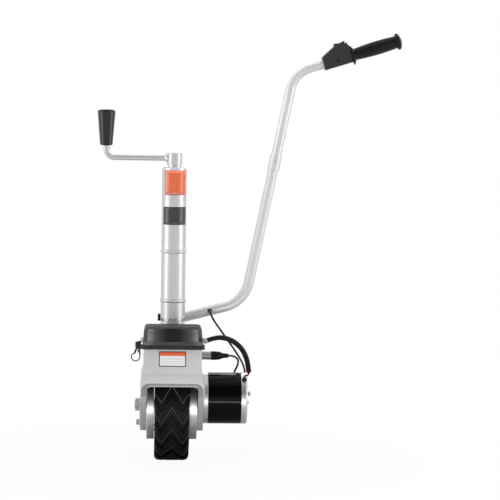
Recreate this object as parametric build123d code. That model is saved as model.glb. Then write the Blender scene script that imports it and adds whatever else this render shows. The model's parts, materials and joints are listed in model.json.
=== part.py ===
# Motorised jockey wheel for a caravan: a crank jack tube, a wheel under a pressed housing, a geared motor
# on the right, an electronics box in front and a bent steering handle with a switch.
# Millimetres. X to the right, Y away from the front, Z up. Heights are worked out from the floor, and every
# solid is moved down at the end, so that the origin is on the jack tube's axis, in the middle of its clamp
# stretch.
from build123d import *
from math import acos, atan2, cos, degrees, hypot, pi, radians, sin, sqrt, tan
import os

os.makedirs("parts", exist_ok=True)

# Clearances
running_fit = 0.05
slip = 0.02
face_gap = 0.3

# Wheel
wheel_radius = 137.0
tyre_width = 85.0
tyre_seat_radius = 80.0
tyre_shoulder = 12.0
tread_count = 16
tread_depth = 6.0
tread_groove = 12.0
tread_trough_x = 26.0
tread_trough_angle = 18.0
tread_end_angle = 7.0
rim_wall = 5.0
rim_web = 8.0
rim_inset = 1.0
hub_radius = 26.0
bearing_width = 12.0
bearing_radius = 20.0
axle_radius = 10.0
drum_radius = 85.0
drum_width = 18.0
drum_wall = 6.0
drum_web = 2.6
drum_gap = 1.0
drum_bore = 16.0
drum_bolt_count = 6
drum_bolt_circle = 66.0
drum_bolt_radius = 3.0
drum_bolt_length = 5.5

# Gears
drum_teeth = 60
pinion_teeth = 14
drive_module = 2.5
ring_teeth = 72
planet_teeth = 30
sun_teeth = 12
planet_module = 1.0
planet_count = 3
tooth_share = 0.42
tooth_addendum = 0.8
tooth_dedendum = 1.25
flank_angle = 20.0
motor_rise = 9.6

# Housing
housing_wall = 3.5
tyre_headroom = 11.5
box_half_width = 70.5
box_front = -132.0
box_rear = 128.0
box_corner = 8.0
rim_half_width = 77.0
rim_front = -152.0
rim_rear = 146.0
rim_corner = 10.0
rim_bottom = 200.5
rim_band = 8.0
flare_height = 20.5
arch_corner = 12.0
arch_skirt = 22.0
cheek_plate = 5.0
cheek_depth = 14.5
cheek_radius = 64.0
cheek_lip = 5.0

# Electronics box
tray_half_width = 77.0
tray_front = -137.0
tray_rear = -35.0
tray_corner = 7.0
tray_height = 9.0
tray_wall = 3.0
gasket_height = 1.2
lid_flange = 8.8
lid_top = 342.0
lid_foot_half_width = 72.0
lid_head_half_width = 69.0
lid_foot_front = -132.0
lid_head_front = -124.0
lid_rear = -37.0
lid_corner = 10.0
lid_edge_round = 8.0
lid_wall = 2.5
lid_groove = 1.4
lid_groove_depth = 0.8
lid_groove_half = 54.0
lid_groove_height = 19.0
lid_groove_tick = 6.0
corner_screw_radius = 2.7
corner_screw_head = 1.0
corner_screw_length = 16.2
corner_post_radius = 3.2
board_size_x = 116.0
board_size_y = 70.0
board_thickness = 1.6
board_lift = 5.0
board_margin = 5.0
relay_size = 28.0
relay_height = 18.0
label_width = 65.0
label_height = 37.0
label_bottom = 247.4
label_thickness = 0.8
label_left = -33.0

# Swivel
collar_radius = 30.0
collar_height = 57.0
collar_flange_radius = 34.0
collar_flange = 6.0
bush_floor = 5.7
swivel_bolt_radius = 6.0
swivel_head_radius = 10.0
swivel_head_height = 5.0
plug_height = 20.0

# Jack
outer_radius = 30.0
outer_wall = 3.0
outer_length = 371.0
foot_gap = 2.0
foot_notches = 6
foot_notch_width = 18.0
foot_notch_height = 4.5
bead_heights = (48.5, 170.0)
bead_half_height = 4.5
bead_bulge = 2.5
inner_radius = 24.5
inner_wall = 3.0
inner_length = 365.0
guide_height = 40.0
guide_lift = 6.0
cap_height = 6.0
cap_spigot = 19.0
cap_edge = 3.0
screw_radius = 10.0
lift_stroke = 210.0
thread_grip = 22.0
screw_headroom = 59.0
screw_collar_radius = 16.0
screw_collar_height = 8.0
nut_height = 30.0
nut_from_top = 8.0
top_bearing_radius = 16.0
top_bearing_height = 3.7

# Crank
crank_reach = 168.0
crank_hub_radius = 18.5
crank_hub_height = 31.0
crank_rod_radius = 7.0
crank_rod_rise = 18.0
crank_bend = 20.0
crank_stub_radius = 6.0
crank_riser = 27.0
weld_radius = 11.0
weld_length = 6.0
hub_pin_radius = 3.0
stop_pin_radius = 1.6
stop_pin_drop = 4.5
grip_lift = 2.0
grip_height = 88.0
grip_foot_radius = 15.5
grip_head_radius = 22.0
grip_round = 2.5
rivet_radius = 9.0
rivet_height = 3.0
rivet_from_top = 12.0
rivet_room = 3.0

# Steering handle
handle_y = 50.0
handle_radius = 13.0
handle_wall = 2.0
upper_radius = 12.5
handle_start = -18.0
handle_height = 349.0
first_bend_x = 21.3
second_bend = (179.6, 390.0)
third_bend = (294.0, 962.0)
first_bend_radius = 44.0
second_bend_radius = 80.0
third_bend_radius = 70.0
grip_pitch = 17.5
grip_inner_x = 443.1
joint_height = 738.0
joint_length = 37.0
joint_radius = 15.0
joint_pin_radius = 2.5
joint_pin_head = 2.0
socket_radius = 17.0
socket_left = -28.0
socket_right = 15.0
socket_end_wall = 4.0
socket_post_width = 20.0
socket_foot_height = 6.0
socket_foot_width = 44.0
knob_radius = 9.0
knob_width = 8.6
knob_stud_radius = 4.0
grommet_x = 92.0
grommet_radius = 5.5
grommet_height = 4.0

# Switch and grip, along the grip's own axis from its inner end
shell_half_width = 18.0
shell_seam = 0.3
shell_left = -80.5
shell_right = -6.8
shell_foot = -17.0
shell_low_top = 15.0
shell_slope_end = -43.6
shell_top = 33.0
shell_round = 2.0
shell_nose = 5.0
switch_half_length = 15.5
switch_half_width = 10.5
switch_floor = 14.5
switch_well_depth = 7.0
switch_centre = -28.7
bezel_margin = 2.5
bezel_height = 1.6
rocker_half_length = 13.9
rocker_half_width = 8.6
rocker_end_height = 7.4
rocker_middle_height = 4.8
rocker_root = 3.5
rocker_keel = 2.0
rocker_keel_half = 6.7
rocker_pin_radius = 1.5
plate_length = 31.0
plate_half_width = 14.5
plate_thickness = 2.4
plate_start = 3.5
shell_screw_radius = 3.2
shell_screw_head = 1.0
shell_screw_x = -43.3
shell_screw_z = -2.5
guard_radius = 24.5
guard_edge = 3.0
guard_width = 9.0
guard_round = 1.2
rubber_inner = 14.6
rubber_middle = 17.3
rubber_radius = 15.5
rubber_length = 118.0
rubber_flange_radius = 20.8
rubber_flange = 9.5
rubber_nose = 5.0
rubber_round = 3.0
tube_in_grip = 108.0

# Motor and planetary gear, along X
gearcase_radius = 63.5
gearcase_depth = 10.5
gearcase_wall = 3.6
motor_radius = 64.0
motor_wall = 3.0
motor_length = 82.0
motor_cap = 15.0
motor_cap_wall = 5.0
motor_cap_rim = 4.0
motor_cap_round = 4.0
shaft_radius = 6.0
shaft_tail = 3.0
motor_bearing_radius = 13.0
motor_bearing_width = 7.0
magnet_inner = 47.0
magnet_span = 118.0
magnet_length = 60.0
magnet_start = 9.0
armature_radius = 45.0
armature_slots = 12
armature_slot_width = 5.0
armature_slot_depth = 14.0
armature_length = 55.0
armature_start = 11.0
commutator_radius = 14.0
commutator_length = 11.0
commutator_start = 69.0
brush_outer = 40.0
brush_width = 8.0
stud_circle = 51.0
stud_angle = 160.0
stud_radius = 3.0
stud_nut_radius = 6.5
stud_nut_height = 6.0
stud_head_radius = 5.5
stud_head_height = 5.0
stud_tail = 2.0
carrier_radius = 26.5
carrier_thickness = 4.2
planet_pin_radius = 3.5
neck_radius = 12.0
pinion_relief = 1.0
drive_bearing_radius = 28.0
drive_bearing_wall = 5.0
bearing_boss_depth = 9.0
motor_grommet_angle = 128.0
motor_grommet_radius = 6.5
motor_grommet_height = 8.0

# Axle fasteners
nut_flats = 30.0
nut_width = 10.5
nut_chamfer = 1.5
axle_tail = 1.5
keeper_plate = 2.5
keeper_width = 30.0
keeper_bolt_drop = 44.0
keeper_bolt_radius = 4.0
keeper_head_flats = 13.0
keeper_head = 8.0
keeper_nut = 5.0
spacer_radius = 14.0

# Connectors and cables
connector_y = 75.0
connector_z = 251.0
connector_radius = 10.5
connector_reach = 27.2
connector_thread_radius = 9.0
connector_flange = 2.0
connector_flange_radius = 12.5
connector_nut_radius = 12.0
connector_nut = 3.0
coupling_ring_radius = 11.0
coupling_ring_length = 13.0
plug_length = 44.0
plug_head_radius = 10.5
plug_tail_radius = 5.0
cable_diameter = 5.0
conduit_diameter = 13.0
conduit_bore = 4.4
conduit_valley = 5.3
conduit_ribs = 64
gland_y = -70.0
gland_neck = 3.4
gland_bore = 2.2
gland_reach = 3.5
gland_radius = 6.3
gland_lip = 1.2
gland_nozzle = 4.5
gland_tilt = 20.0
wire_diameter = 2.8
wire_spread = 1.7

# Tether
lug_y = -112.0
lug_reach = 13.5
lug_half = 6.0
lug_slot_half = 3.5
lug_rise = 10.0
lug_slope = 4.0
lug_roof = 2.0
lug_chamfer = 4.0
lug_pin_from_side = 5.5
lug_pin_rise = 12.0
tether_pin_radius = 1.6
tether_eye_radius = 2.6
tether_strap_half = 1.4
left_strap = ((-0.7, 0.0), (-9.5, -23.5), 4.4)
middle_strap = ((-0.9, 0.0), (-0.9, -20.5), 3.4)
right_strap = ((3.1, -1.0), (3.1, -26.6), 3.6)
tether_ring_radius = 10.1
tether_wire = 1.3
tether_ring_drop = 32.6
tether_leave_angle = 140.0

# Heights and places that follow
axle_height = wheel_radius
deck_under = 2 * wheel_radius + tyre_headroom
deck_top = deck_under + housing_wall
rim_top = rim_bottom + rim_band
flare_top = rim_top + flare_height
inner_foot = deck_top + bush_floor + face_gap
inner_top = inner_foot + inner_length
collar_top = deck_top + collar_height
foot_height = max(collar_top + foot_gap, inner_top + screw_headroom - outer_length)
cap_seat = foot_height + outer_length
cap_top = cap_seat + cap_height
hub_bottom = cap_top + top_bearing_height + face_gap
hub_top = hub_bottom + crank_hub_height
rod_height = hub_bottom + crank_rod_rise
crank_shoulder = rod_height + crank_riser
stop_pin_height = crank_shoulder - stop_pin_drop
grip_bottom = crank_shoulder + grip_lift
screw_foot = inner_top - nut_from_top - lift_stroke - thread_grip
bead_levels = [foot_height + rise for rise in bead_heights]
clamp_low = bead_levels[-1] + bead_half_height
clamp_length = cap_seat - clamp_low
origin_height = clamp_low + clamp_length / 2
tray_top = deck_top + tray_height
lid_foot = tray_top + gasket_height
lid_flange_top = lid_foot + lid_flange
half_tyre = tyre_width / 2
drum_inner = half_tyre + drum_gap
drum_outer = drum_inner + drum_width
cheek_outer = rim_half_width
cheek_face = cheek_outer - cheek_plate
centre_distance = (drum_teeth - pinion_teeth) * drive_module / 2
motor_y = sqrt(centre_distance ** 2 - motor_rise ** 2)
motor_z = axle_height + motor_rise
mesh_angle = degrees(atan2(motor_rise, motor_y))
planet_orbit = (sun_teeth + planet_teeth) * planet_module / 2
gearcase_end = cheek_outer + gearcase_depth + gearcase_wall
can_end = gearcase_end + motor_length
motor_end = can_end + motor_cap
gear_left = cheek_outer + face_gap
gear_right = cheek_outer + gearcase_depth - face_gap
keeper_left = -cheek_outer - keeper_plate
nut_left = keeper_left - nut_width
axle_left = nut_left - axle_tail
inner_bore = inner_radius - inner_wall
outer_bore = outer_radius - outer_wall
half_turn = 180.0


# Helpers
def upright(radius, low, high, bore=0.0, x=0.0, y=0.0):
    """Cylinder or ring with an upright axis."""
    centred = (Align.CENTER, Align.CENTER, Align.MIN)
    body = Pos(x, y, low) * Cylinder(radius, high - low, align=centred)
    if bore:
        body -= Pos(x, y, low) * Cylinder(bore, high - low, align=centred)
    return body


def lying(radius, left, right, bore=0.0, y=0.0, z=0.0):
    """Cylinder or ring with its axis along X."""
    return Pos(0, y, z) * Rot(Y=90) * upright(radius, left, right, bore)


def fore_aft(radius, front, rear, bore=0.0, x=0.0, z=0.0):
    """Cylinder or ring with its axis along Y."""
    return Pos(x, 0, z) * Rot(X=-90) * upright(radius, front, rear, bore)


def block(left, right, front, rear, low, high):
    """Box between six planes."""
    middle = Pos((left + right) / 2, (front + rear) / 2, (low + high) / 2)
    return middle * Box(right - left, rear - front, high - low)


def outline(points):
    """Flat face inside a closed outline."""
    return make_face(Polyline(*points, close=True))


def turned(points):
    """Solid turned about Z from (radius, height) points."""
    return revolve(Plane.XZ * outline(points), Axis.Z)


def turned_x(points, rounding=None, radius=0.0):
    """Solid turned about X from (x, radius) points, some corners rounded first."""
    face = outline(points)
    if rounding:
        corners = [v for v in face.vertices() if (round(v.X, 3), round(v.Y, 3)) in rounding]
        face = fillet(corners, radius)
    return revolve(Plane.XZ * face, Axis.X)


def across(face, left, right):
    """Face drawn in (y, z), extruded along X."""
    return extrude(Pos(left, 0, 0) * (Plane.YZ * face), right - left, dir=(1, 0, 0))


def rearward(face, front, rear):
    """Face drawn in (x, z), extruded along Y."""
    return extrude(Pos(0, front, 0) * (Plane.XZ * face), rear - front, dir=(0, 1, 0))


def rising(face, low, high):
    """Face drawn in (x, y), extruded upwards."""
    return extrude(Pos(0, 0, low) * face, high - low, dir=(0, 0, 1))


def plan(half_width, front, rear, corner, inset=0.0):
    """Rectangle seen from above with cut corners, every side moved in by inset."""
    half_width -= inset
    front += inset
    rear -= inset
    corner -= inset * (2 - sqrt(2))
    return outline([
        (-half_width + corner, front), (half_width - corner, front),
        (half_width, front + corner), (half_width, rear - corner),
        (half_width - corner, rear), (-half_width + corner, rear),
        (-half_width, rear - corner), (-half_width, front + corner),
    ])


def tapered(low_plan, low, high_plan, high):
    """Straight loft between two plans."""
    return loft([Pos(0, 0, low) * low_plan, Pos(0, 0, high) * high_plan], ruled=True)


def gear_face(teeth, module, first_tooth, inward=False):
    """Outline with straight-sided teeth, one tooth centred at first_tooth degrees."""
    pitch_radius = teeth * module / 2
    side = -1 if inward else 1
    tip = pitch_radius + side * tooth_addendum * module
    root = pitch_radius - side * tooth_dedendum * module
    half_pitch = tooth_share * pi * module / 2
    half_tip = half_pitch - tooth_addendum * module * tan(radians(flank_angle))
    half_root = half_pitch + tooth_dedendum * module * tan(radians(flank_angle))
    points = []
    for number in range(teeth):
        middle = radians(first_tooth) + number * 2 * pi / teeth
        for radius, half in ((root, -half_root), (tip, -half_tip), (tip, half_tip), (root, half_root)):
            angle = middle + half / radius
            points.append((radius * cos(angle), radius * sin(angle)))
    return outline(points)


def hexagon(flats):
    """Six-sided face, flat to flat."""
    return RegularPolygon(flats / 2, 6, major_radius=False)


def round_bar(path, radius):
    """Round bar along a path."""
    start = Plane(origin=path @ 0, z_dir=path % 0)
    return sweep(start * Circle(radius), path=path)


def cord_path(name, points):
    """Path of straight runs and the largest arcs that they allow; prints its radii."""
    nodes = [Vector(*point) for point in points]
    radii = []
    for before, corner, after in zip(nodes, nodes[1:], nodes[2:]):
        run_in = corner - before
        run_out = after - corner
        turn = radians(run_in.get_angle(run_out))
        radii.append(0.45 * min(run_in.length, run_out.length) / tan(turn / 2))
    print(name, "radii", [round(radius, 1) for radius in radii])
    return FilletPolyline(*nodes, radius=radii)


def check_tube(name, solid, path, radius):
    """Prints how a tube's volume compares with its section times its length."""
    expected = pi * radius ** 2 * path.length
    print(name, "length", round(path.length, 1), "volume ratio", round(solid.volume / expected, 4))


# Jack
def make_outer_tube():
    body = upright(outer_radius, foot_height, cap_seat, outer_bore)
    for level in bead_levels:
        arc = ThreePointArc(
            (outer_radius, level - bead_half_height),
            (outer_radius + bead_bulge, level),
            (outer_radius, level + bead_half_height),
        )
        base = Line(arc @ 1, arc @ 0)
        body += revolve(Plane.XZ * make_face([arc, base]), Axis.Z)
    notch = block(
        -foot_notch_width / 2, foot_notch_width / 2, -2 * outer_radius, -outer_bore / 2,
        foot_height - 1, foot_height + foot_notch_height,
    )
    for number in range(foot_notches):
        body -= Rot(Z=360 / foot_notches * number) * notch
    return body


def make_guide_bush():
    low = foot_height + guide_lift
    return upright(outer_bore - slip, low, low + guide_height, inner_radius + running_fit)


def make_top_cap():
    return turned([
        (screw_radius + running_fit, cap_seat - cap_spigot), (outer_bore - slip, cap_seat - cap_spigot),
        (outer_bore - slip, cap_seat), (outer_radius, cap_seat), (outer_radius, cap_top - cap_edge),
        (outer_radius - cap_edge, cap_top), (screw_radius + running_fit, cap_top),
    ])


def make_thrust_bearing():
    return upright(top_bearing_radius, cap_top, cap_top + top_bearing_height, screw_radius + running_fit)


def make_lead_screw():
    tip = screw_radius / 4
    head = hub_top - screw_radius
    shoulder_top = cap_seat - cap_spigot - face_gap
    shoulder_low = shoulder_top - screw_collar_height
    body = turned([
        (0, screw_foot), (screw_radius - tip, screw_foot), (screw_radius, screw_foot + tip),
        (screw_radius, shoulder_low), (screw_collar_radius, shoulder_low),
        (screw_collar_radius, shoulder_top),
        (screw_radius, shoulder_top), (screw_radius, head), (0, head),
    ])
    return body - hub_pin_hole()


def hub_pin_height():
    return hub_bottom + (rod_height - hub_bottom) / 3


def hub_pin_hole():
    return fore_aft(hub_pin_radius, -2 * crank_hub_radius, 2 * crank_hub_radius, z=hub_pin_height())


def make_crank_pins():
    """Roll pins through the hub and through the rod's upright end."""
    hub_pin = fore_aft(hub_pin_radius - slip, -crank_hub_radius, crank_hub_radius, z=hub_pin_height())
    stop_left = -crank_reach - crank_rod_radius
    stop_right = -crank_reach + crank_rod_radius + 2 * stop_pin_radius
    stop_pin = lying(stop_pin_radius - slip, stop_left, stop_right, z=stop_pin_height)
    return Compound(children=[hub_pin, stop_pin])


def make_crank_arm():
    hub = upright(crank_hub_radius, hub_bottom, hub_top)
    rivet_low = grip_bottom + grip_height - rivet_from_top
    rivet_top = rivet_low + rivet_height
    path = FilletPolyline(
        (-crank_hub_radius / 2, 0, rod_height), (-crank_reach, 0, rod_height),
        (-crank_reach, 0, crank_shoulder),
        radius=crank_bend,
    )
    rod = round_bar(path, crank_rod_radius)
    weld_left = -crank_hub_radius - weld_length
    weld = turned_x([
        (-crank_hub_radius / 2, 0), (-crank_hub_radius / 2, weld_radius),
        (-crank_hub_radius, weld_radius), (weld_left, crank_rod_radius), (weld_left, 0),
    ])
    stub = upright(crank_stub_radius, crank_shoulder - 1, rivet_top, x=-crank_reach)
    rivet = upright(rivet_radius, rivet_low, rivet_top, x=-crank_reach)
    body = hub + rod + Pos(0, 0, rod_height) * weld + stub + rivet
    body -= upright(screw_radius + slip, hub_bottom - 1, hub_top - screw_radius + slip)
    body -= hub_pin_hole()
    hole_reach = 2 * crank_rod_radius
    return body - lying(
        stop_pin_radius, -crank_reach - hole_reach, -crank_reach + hole_reach, z=stop_pin_height,
    )


def make_crank_grip():
    top = grip_bottom + grip_height
    bore = crank_stub_radius + running_fit
    room_low = top - rivet_from_top - rivet_room
    room_high = top - rivet_from_top + rivet_height + rivet_room
    room = rivet_radius + running_fit * 10
    body = turned([
        (bore, grip_bottom), (grip_foot_radius - grip_round, grip_bottom),
        (grip_foot_radius, grip_bottom + grip_round), (grip_head_radius, top - 2 * grip_round),
        (grip_head_radius - 0.6 * grip_round, top - 0.6 * grip_round),
        (grip_head_radius - 2 * grip_round, top),
        (0, top), (0, room_high), (room, room_high), (room, room_low), (bore, room_low),
    ])
    return Pos(-crank_reach, 0, 0) * body


def make_inner_tube():
    """Tube with a plug welded into its foot, bored for the swivel bolt."""
    plug_top = inner_foot + plug_height
    tube = upright(inner_radius, inner_foot, inner_top) - upright(inner_bore, plug_top, inner_top + 1)
    return tube - upright(swivel_bolt_radius + slip, inner_foot - 1, plug_top + 1)


def make_screw_nut():
    top = inner_top - nut_from_top
    return upright(inner_bore - slip, top - nut_height, top, screw_radius + running_fit)


def make_swivel_bolt():
    head_top = deck_under - face_gap
    shank_top = inner_foot + plug_height - 2
    head = rising(hexagon(2 * swivel_head_radius), head_top - swivel_head_height, head_top)
    return head + upright(swivel_bolt_radius, head_top - 1, shank_top)


# Swivel
def make_swivel_bush():
    """Plastic cup under and round the inner tube's foot."""
    cup = upright(collar_radius - outer_wall, deck_top, collar_top, swivel_bolt_radius + 2 * face_gap)
    return cup - upright(inner_radius + running_fit, deck_top + bush_floor, collar_top + 1)


def make_swivel_collar():
    bore = collar_radius - outer_wall + slip
    body = upright(collar_radius, deck_top, collar_top, bore)
    return body + upright(collar_flange_radius, deck_top, deck_top + collar_flange, bore)


# Housing
def housing_form(inset, low, high):
    """Rim band, flare and upper box, with every wall moved in by inset."""
    rim_plan = plan(rim_half_width, rim_front, rim_rear, rim_corner, inset)
    box_plan = plan(box_half_width, box_front, box_rear, box_corner, inset)
    band = rising(rim_plan, low, rim_top)
    flare = tapered(rim_plan, rim_top, box_plan, flare_top)
    return band + flare + rising(box_plan, flare_top, high)


def tangent_point(start, centre, radius, side):
    """Where the line from start touches the circle, on the side given by -1 or 1."""
    dx = start[0] - centre[0]
    dy = start[1] - centre[1]
    turn = side * acos(radius / hypot(dx, dy))
    angle = atan2(dy, dx) + turn
    return centre[0] + radius * cos(angle), centre[1] + radius * sin(angle)


def cheek_face_outline(inset, top):
    """Side of a leg, from the rim down to a round end about the axle."""
    skirt = rim_bottom - arch_skirt
    centre = (0.0, axle_height)
    radius = cheek_radius - inset
    front = (rim_front + inset, skirt)
    rear = (rim_rear - inset, skirt)
    touch_front = tangent_point(front, centre, radius, 1)
    touch_rear = tangent_point(rear, centre, radius, -1)
    bottom = (0.0, axle_height - radius)
    upper = Polyline(touch_front, front, (front[0], top), (rear[0], top), rear, touch_rear)
    return make_face([upper, ThreePointArc(touch_rear, bottom, touch_front)])


def make_housing():
    body = housing_form(0, rim_bottom, deck_top)
    for side in (-1, 1):
        inner, outer = sorted((side * (cheek_outer - cheek_depth), side * cheek_outer))
        body += across(cheek_face_outline(0, rim_top), inner, outer)
    body += lying(gearcase_radius, cheek_outer - cheek_depth, cheek_outer, y=motor_y, z=motor_z)
    body -= housing_form(housing_wall, rim_bottom - 1, deck_under)
    dish = across(cheek_face_outline(cheek_lip, rim_top), -cheek_face, cheek_face)
    room = lying(gearcase_radius - cheek_lip, cheek_outer - cheek_depth - 1, cheek_face, y=motor_y, z=motor_z)
    body -= dish
    body -= room
    body += arch_gussets()
    boss_left = cheek_face - bearing_boss_depth
    body += lying(drive_bearing_radius + drive_bearing_wall, boss_left, cheek_face, y=motor_y, z=motor_z)
    for side in (-1, 1):
        inner, outer = sorted((side * boss_left, side * cheek_face))
        body += lying(spacer_radius + cheek_plate, inner, outer, z=axle_height)
    body -= lying(drive_bearing_radius + slip, boss_left - 1, cheek_outer + 1, y=motor_y, z=motor_z)
    body -= lying(axle_radius + slip, -cheek_outer - 1, cheek_outer + 1, z=axle_height)
    body -= upright(swivel_bolt_radius + 2 * face_gap, deck_under - 1, deck_top + 1)
    for y, z in stud_places():
        body -= at_motor(lying(stud_radius, cheek_face - 1, cheek_outer + 1, y=y, z=z))
    body -= lying(keeper_bolt_radius, -cheek_outer - 1, -cheek_face + 1, z=axle_height - keeper_bolt_drop)
    wall_inside = box_half_width - housing_wall
    return body - lying(
        connector_thread_radius, wall_inside - 1, box_half_width + 1, y=connector_y, z=connector_z,
    )


def arch_gussets():
    """Rounded corners of the front and rear arches, between the rim and the cheeks."""
    half_arch = cheek_outer - cheek_depth
    centre_z = rim_bottom - arch_corner
    gussets = []
    for front, rear in ((rim_front, rim_front + cheek_lip), (rim_rear - cheek_lip, rim_rear)):
        for side in (-1, 1):
            inner, outer = sorted((side * (half_arch - arch_corner), side * (half_arch + 1)))
            corner = block(inner, outer, front, rear, centre_z, rim_bottom + housing_wall)
            centre_x = side * (half_arch - arch_corner)
            gussets.append(corner - fore_aft(arch_corner, front - 1, rear + 1, x=centre_x, z=centre_z))
    return gussets


# Electronics box
def tray_plan(inset):
    return plan(tray_half_width, tray_front, tray_rear, tray_corner, inset)


def lid_form(inset, low, high):
    foot = plan(lid_foot_half_width, lid_foot_front, lid_rear, lid_corner, inset)
    head = plan(lid_head_half_width, lid_head_front, lid_rear, lid_corner, inset)
    return tapered(foot, low, head, high)


def gland_height():
    return lid_foot + lid_flange / 2


def gland_hole():
    left = lid_foot_half_width - 2 * lid_wall
    return lying(gland_neck, left, tray_half_width + 1, y=gland_y, z=gland_height())


def corner_screw_frames():
    """Frames on the lid flange's cut corners, X pointing into the box."""
    frames = []
    for side in (-1, 1):
        x = side * (tray_half_width - tray_corner / 2)
        for y, way in ((tray_front + tray_corner / 2, 1), (tray_rear - tray_corner / 2, -1)):
            frames.append(Pos(x, y, gland_height()) * Rot(Z=degrees(atan2(way, -side))))
    return frames


def make_box_base():
    """Open tray with a post for each corner screw and a forked lug on its left side."""
    body = rising(tray_plan(0), deck_top, tray_top)
    body -= rising(tray_plan(tray_wall), deck_top + tray_wall, tray_top + 1)
    hole = lying(corner_screw_radius / 2, 0, corner_screw_length)
    for frame in corner_screw_frames():
        foot = deck_top + 1 - gland_height()
        post = upright(corner_post_radius, foot, corner_post_radius, x=corner_screw_length)
        body += frame * (post - hole)
    right = -tray_half_width + 1
    left = -tray_half_width - lug_reach
    beside = -tray_half_width - face_gap
    lug_top = tray_top + lug_rise
    fork = rearward(outline([
        (right, deck_top), (right, tray_top), (beside, tray_top), (beside, lug_top),
        (left, lug_top - lug_slope), (left, deck_top + lug_chamfer), (left + lug_chamfer, deck_top),
    ]), lug_y - lug_half, lug_y + lug_half)
    slot = rearward(outline([
        (-tray_half_width, deck_top - 1), (-tray_half_width, lug_top - lug_roof),
        (left - 1, lug_top - lug_roof - lug_slope), (left - 1, deck_top - 1),
    ]), lug_y - lug_slot_half, lug_y + lug_slot_half)
    bore_radius = tether_pin_radius + running_fit
    bore = fore_aft(bore_radius, lug_y - lug_half - 1, lug_y + lug_half + 1, x=lug_pin_x(), z=lug_pin_level())
    return body + (fork - slot - bore)


def lug_pin_x():
    return -tray_half_width - lug_pin_from_side


def lug_pin_level():
    return deck_top + lug_pin_rise


def make_lid_gasket():
    ring = rising(tray_plan(tray_wall / 4), tray_top, lid_foot)
    return ring - rising(tray_plan(tray_wall), tray_top - 1, lid_foot + 1)


def make_lid():
    shell = lid_form(0, lid_flange_top - 1, lid_top)
    shell = fillet(shell.edges().group_by(Axis.Z)[-1], lid_edge_round)
    groove = shell - Pos(0, lid_groove_depth, 0) * shell
    low = lid_flange_top + lid_groove_height - lid_groove
    high = low + lid_groove
    tick = low + lid_groove_tick
    mark = block(-lid_groove_half, lid_groove_half, tray_front, lid_rear - lid_wall * 4, low, high)
    for side in (-1, 1):
        inner, outer = sorted((side * (lid_groove_half - lid_groove), side * lid_groove_half))
        mark += block(inner, outer, tray_front, lid_rear - lid_wall * 4, low, tick)
    shell -= groove & mark
    body = shell + rising(tray_plan(0), lid_foot, lid_flange_top)
    body -= lid_form(lid_wall, lid_foot - 1, lid_top - lid_wall)
    for frame in corner_screw_frames():
        body -= frame * lying(corner_screw_radius / 2, -1, corner_screw_length)
    return body - gland_hole()


def make_cover_screws():
    """Four screws of the lid, two of the switch shell and the pin of the handle's joint."""
    screws = []
    for frame in corner_screw_frames():
        head = lying(corner_screw_radius, -corner_screw_head, 0)
        shank = lying(corner_screw_radius / 2 - slip, -corner_screw_head, corner_screw_length)
        screws.append(frame * (head + shank))
    for side in (-1, 1):
        outer = side * (shell_half_width + shell_screw_head)
        head_front, head_rear = sorted((side * shell_half_width, outer))
        shank_front, shank_rear = sorted((side * (upper_radius + 1), outer))
        screw = fore_aft(shell_screw_radius, head_front, head_rear)
        screw += fore_aft(shell_screw_radius / 2 - slip, shank_front, shank_rear)
        screws.append(grip_frame() * Pos(shell_screw_x, 0, shell_screw_z) * screw)
    reach = joint_radius + joint_pin_head
    heads = fore_aft(2 * joint_pin_radius, -reach, reach) - upright(joint_radius + slip, -reach, reach)
    pin = fore_aft(joint_pin_radius - slip, -reach, reach) + heads
    screws.append(handle_axis_frame(joint_height) * Pos(0, 0, joint_length / 4) * pin)
    return Compound(children=screws)


def make_control_board():
    """Board on four standoffs, with two relays."""
    floor = deck_top + tray_wall
    low = floor + board_lift
    middle_y = (tray_front + tray_rear) / 2
    half_x = board_size_x / 2
    half_y = board_size_y / 2
    board = block(-half_x, half_x, middle_y - half_y, middle_y + half_y, low, low + board_thickness)
    for side_x in (-1, 1):
        x = side_x * (half_x - board_margin)
        relay_x = side_x * half_x / 2
        board += block(relay_x - relay_size / 2, relay_x + relay_size / 2, middle_y - relay_size / 2,
                       middle_y + relay_size / 2, low, low + relay_height)
        for side_y in (-1, 1):
            y = middle_y + side_y * (half_y - board_margin)
            board += upright(board_margin / 2, floor, low, x=x, y=y)
    return board


def make_label_plate():
    return block(label_left, label_left + label_width, box_front - label_thickness, box_front,
                 label_bottom, label_bottom + label_height)


def make_socket_connector():
    left = box_half_width
    inside = left - housing_wall
    body = lying(connector_flange_radius, left, left + connector_flange)
    body += lying(connector_radius, left + connector_flange, left + connector_reach)
    body += lying(connector_thread_radius - slip, inside - connector_nut, left)
    body += lying(connector_nut_radius, inside - connector_nut, inside)
    return Pos(0, connector_y, connector_z) * body


def make_connector_ring():
    left = box_half_width + connector_reach + face_gap
    body = lying(coupling_ring_radius, left, left + coupling_ring_length, plug_head_radius - 2 + running_fit)
    for number in range(12):
        flute = lying(0.9, left - 1, left + coupling_ring_length + 1, y=coupling_ring_radius)
        body -= Rot(X=360 / 12 * number) * flute
    return Pos(0, connector_y, connector_z) * body


def make_connector_plug():
    left = box_half_width + connector_reach + face_gap
    head = left + coupling_ring_length + face_gap
    neck = plug_head_radius - 2
    tail = left + plug_length
    points = [
        (left, 0), (left, neck), (head, neck), (head, plug_head_radius), (head + 6, plug_head_radius),
        (tail - 14, plug_tail_radius + 1.5), (tail, plug_tail_radius), (tail, 0),
    ]
    body = turned_x(points)
    return Pos(0, connector_y, connector_z) * body


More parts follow.
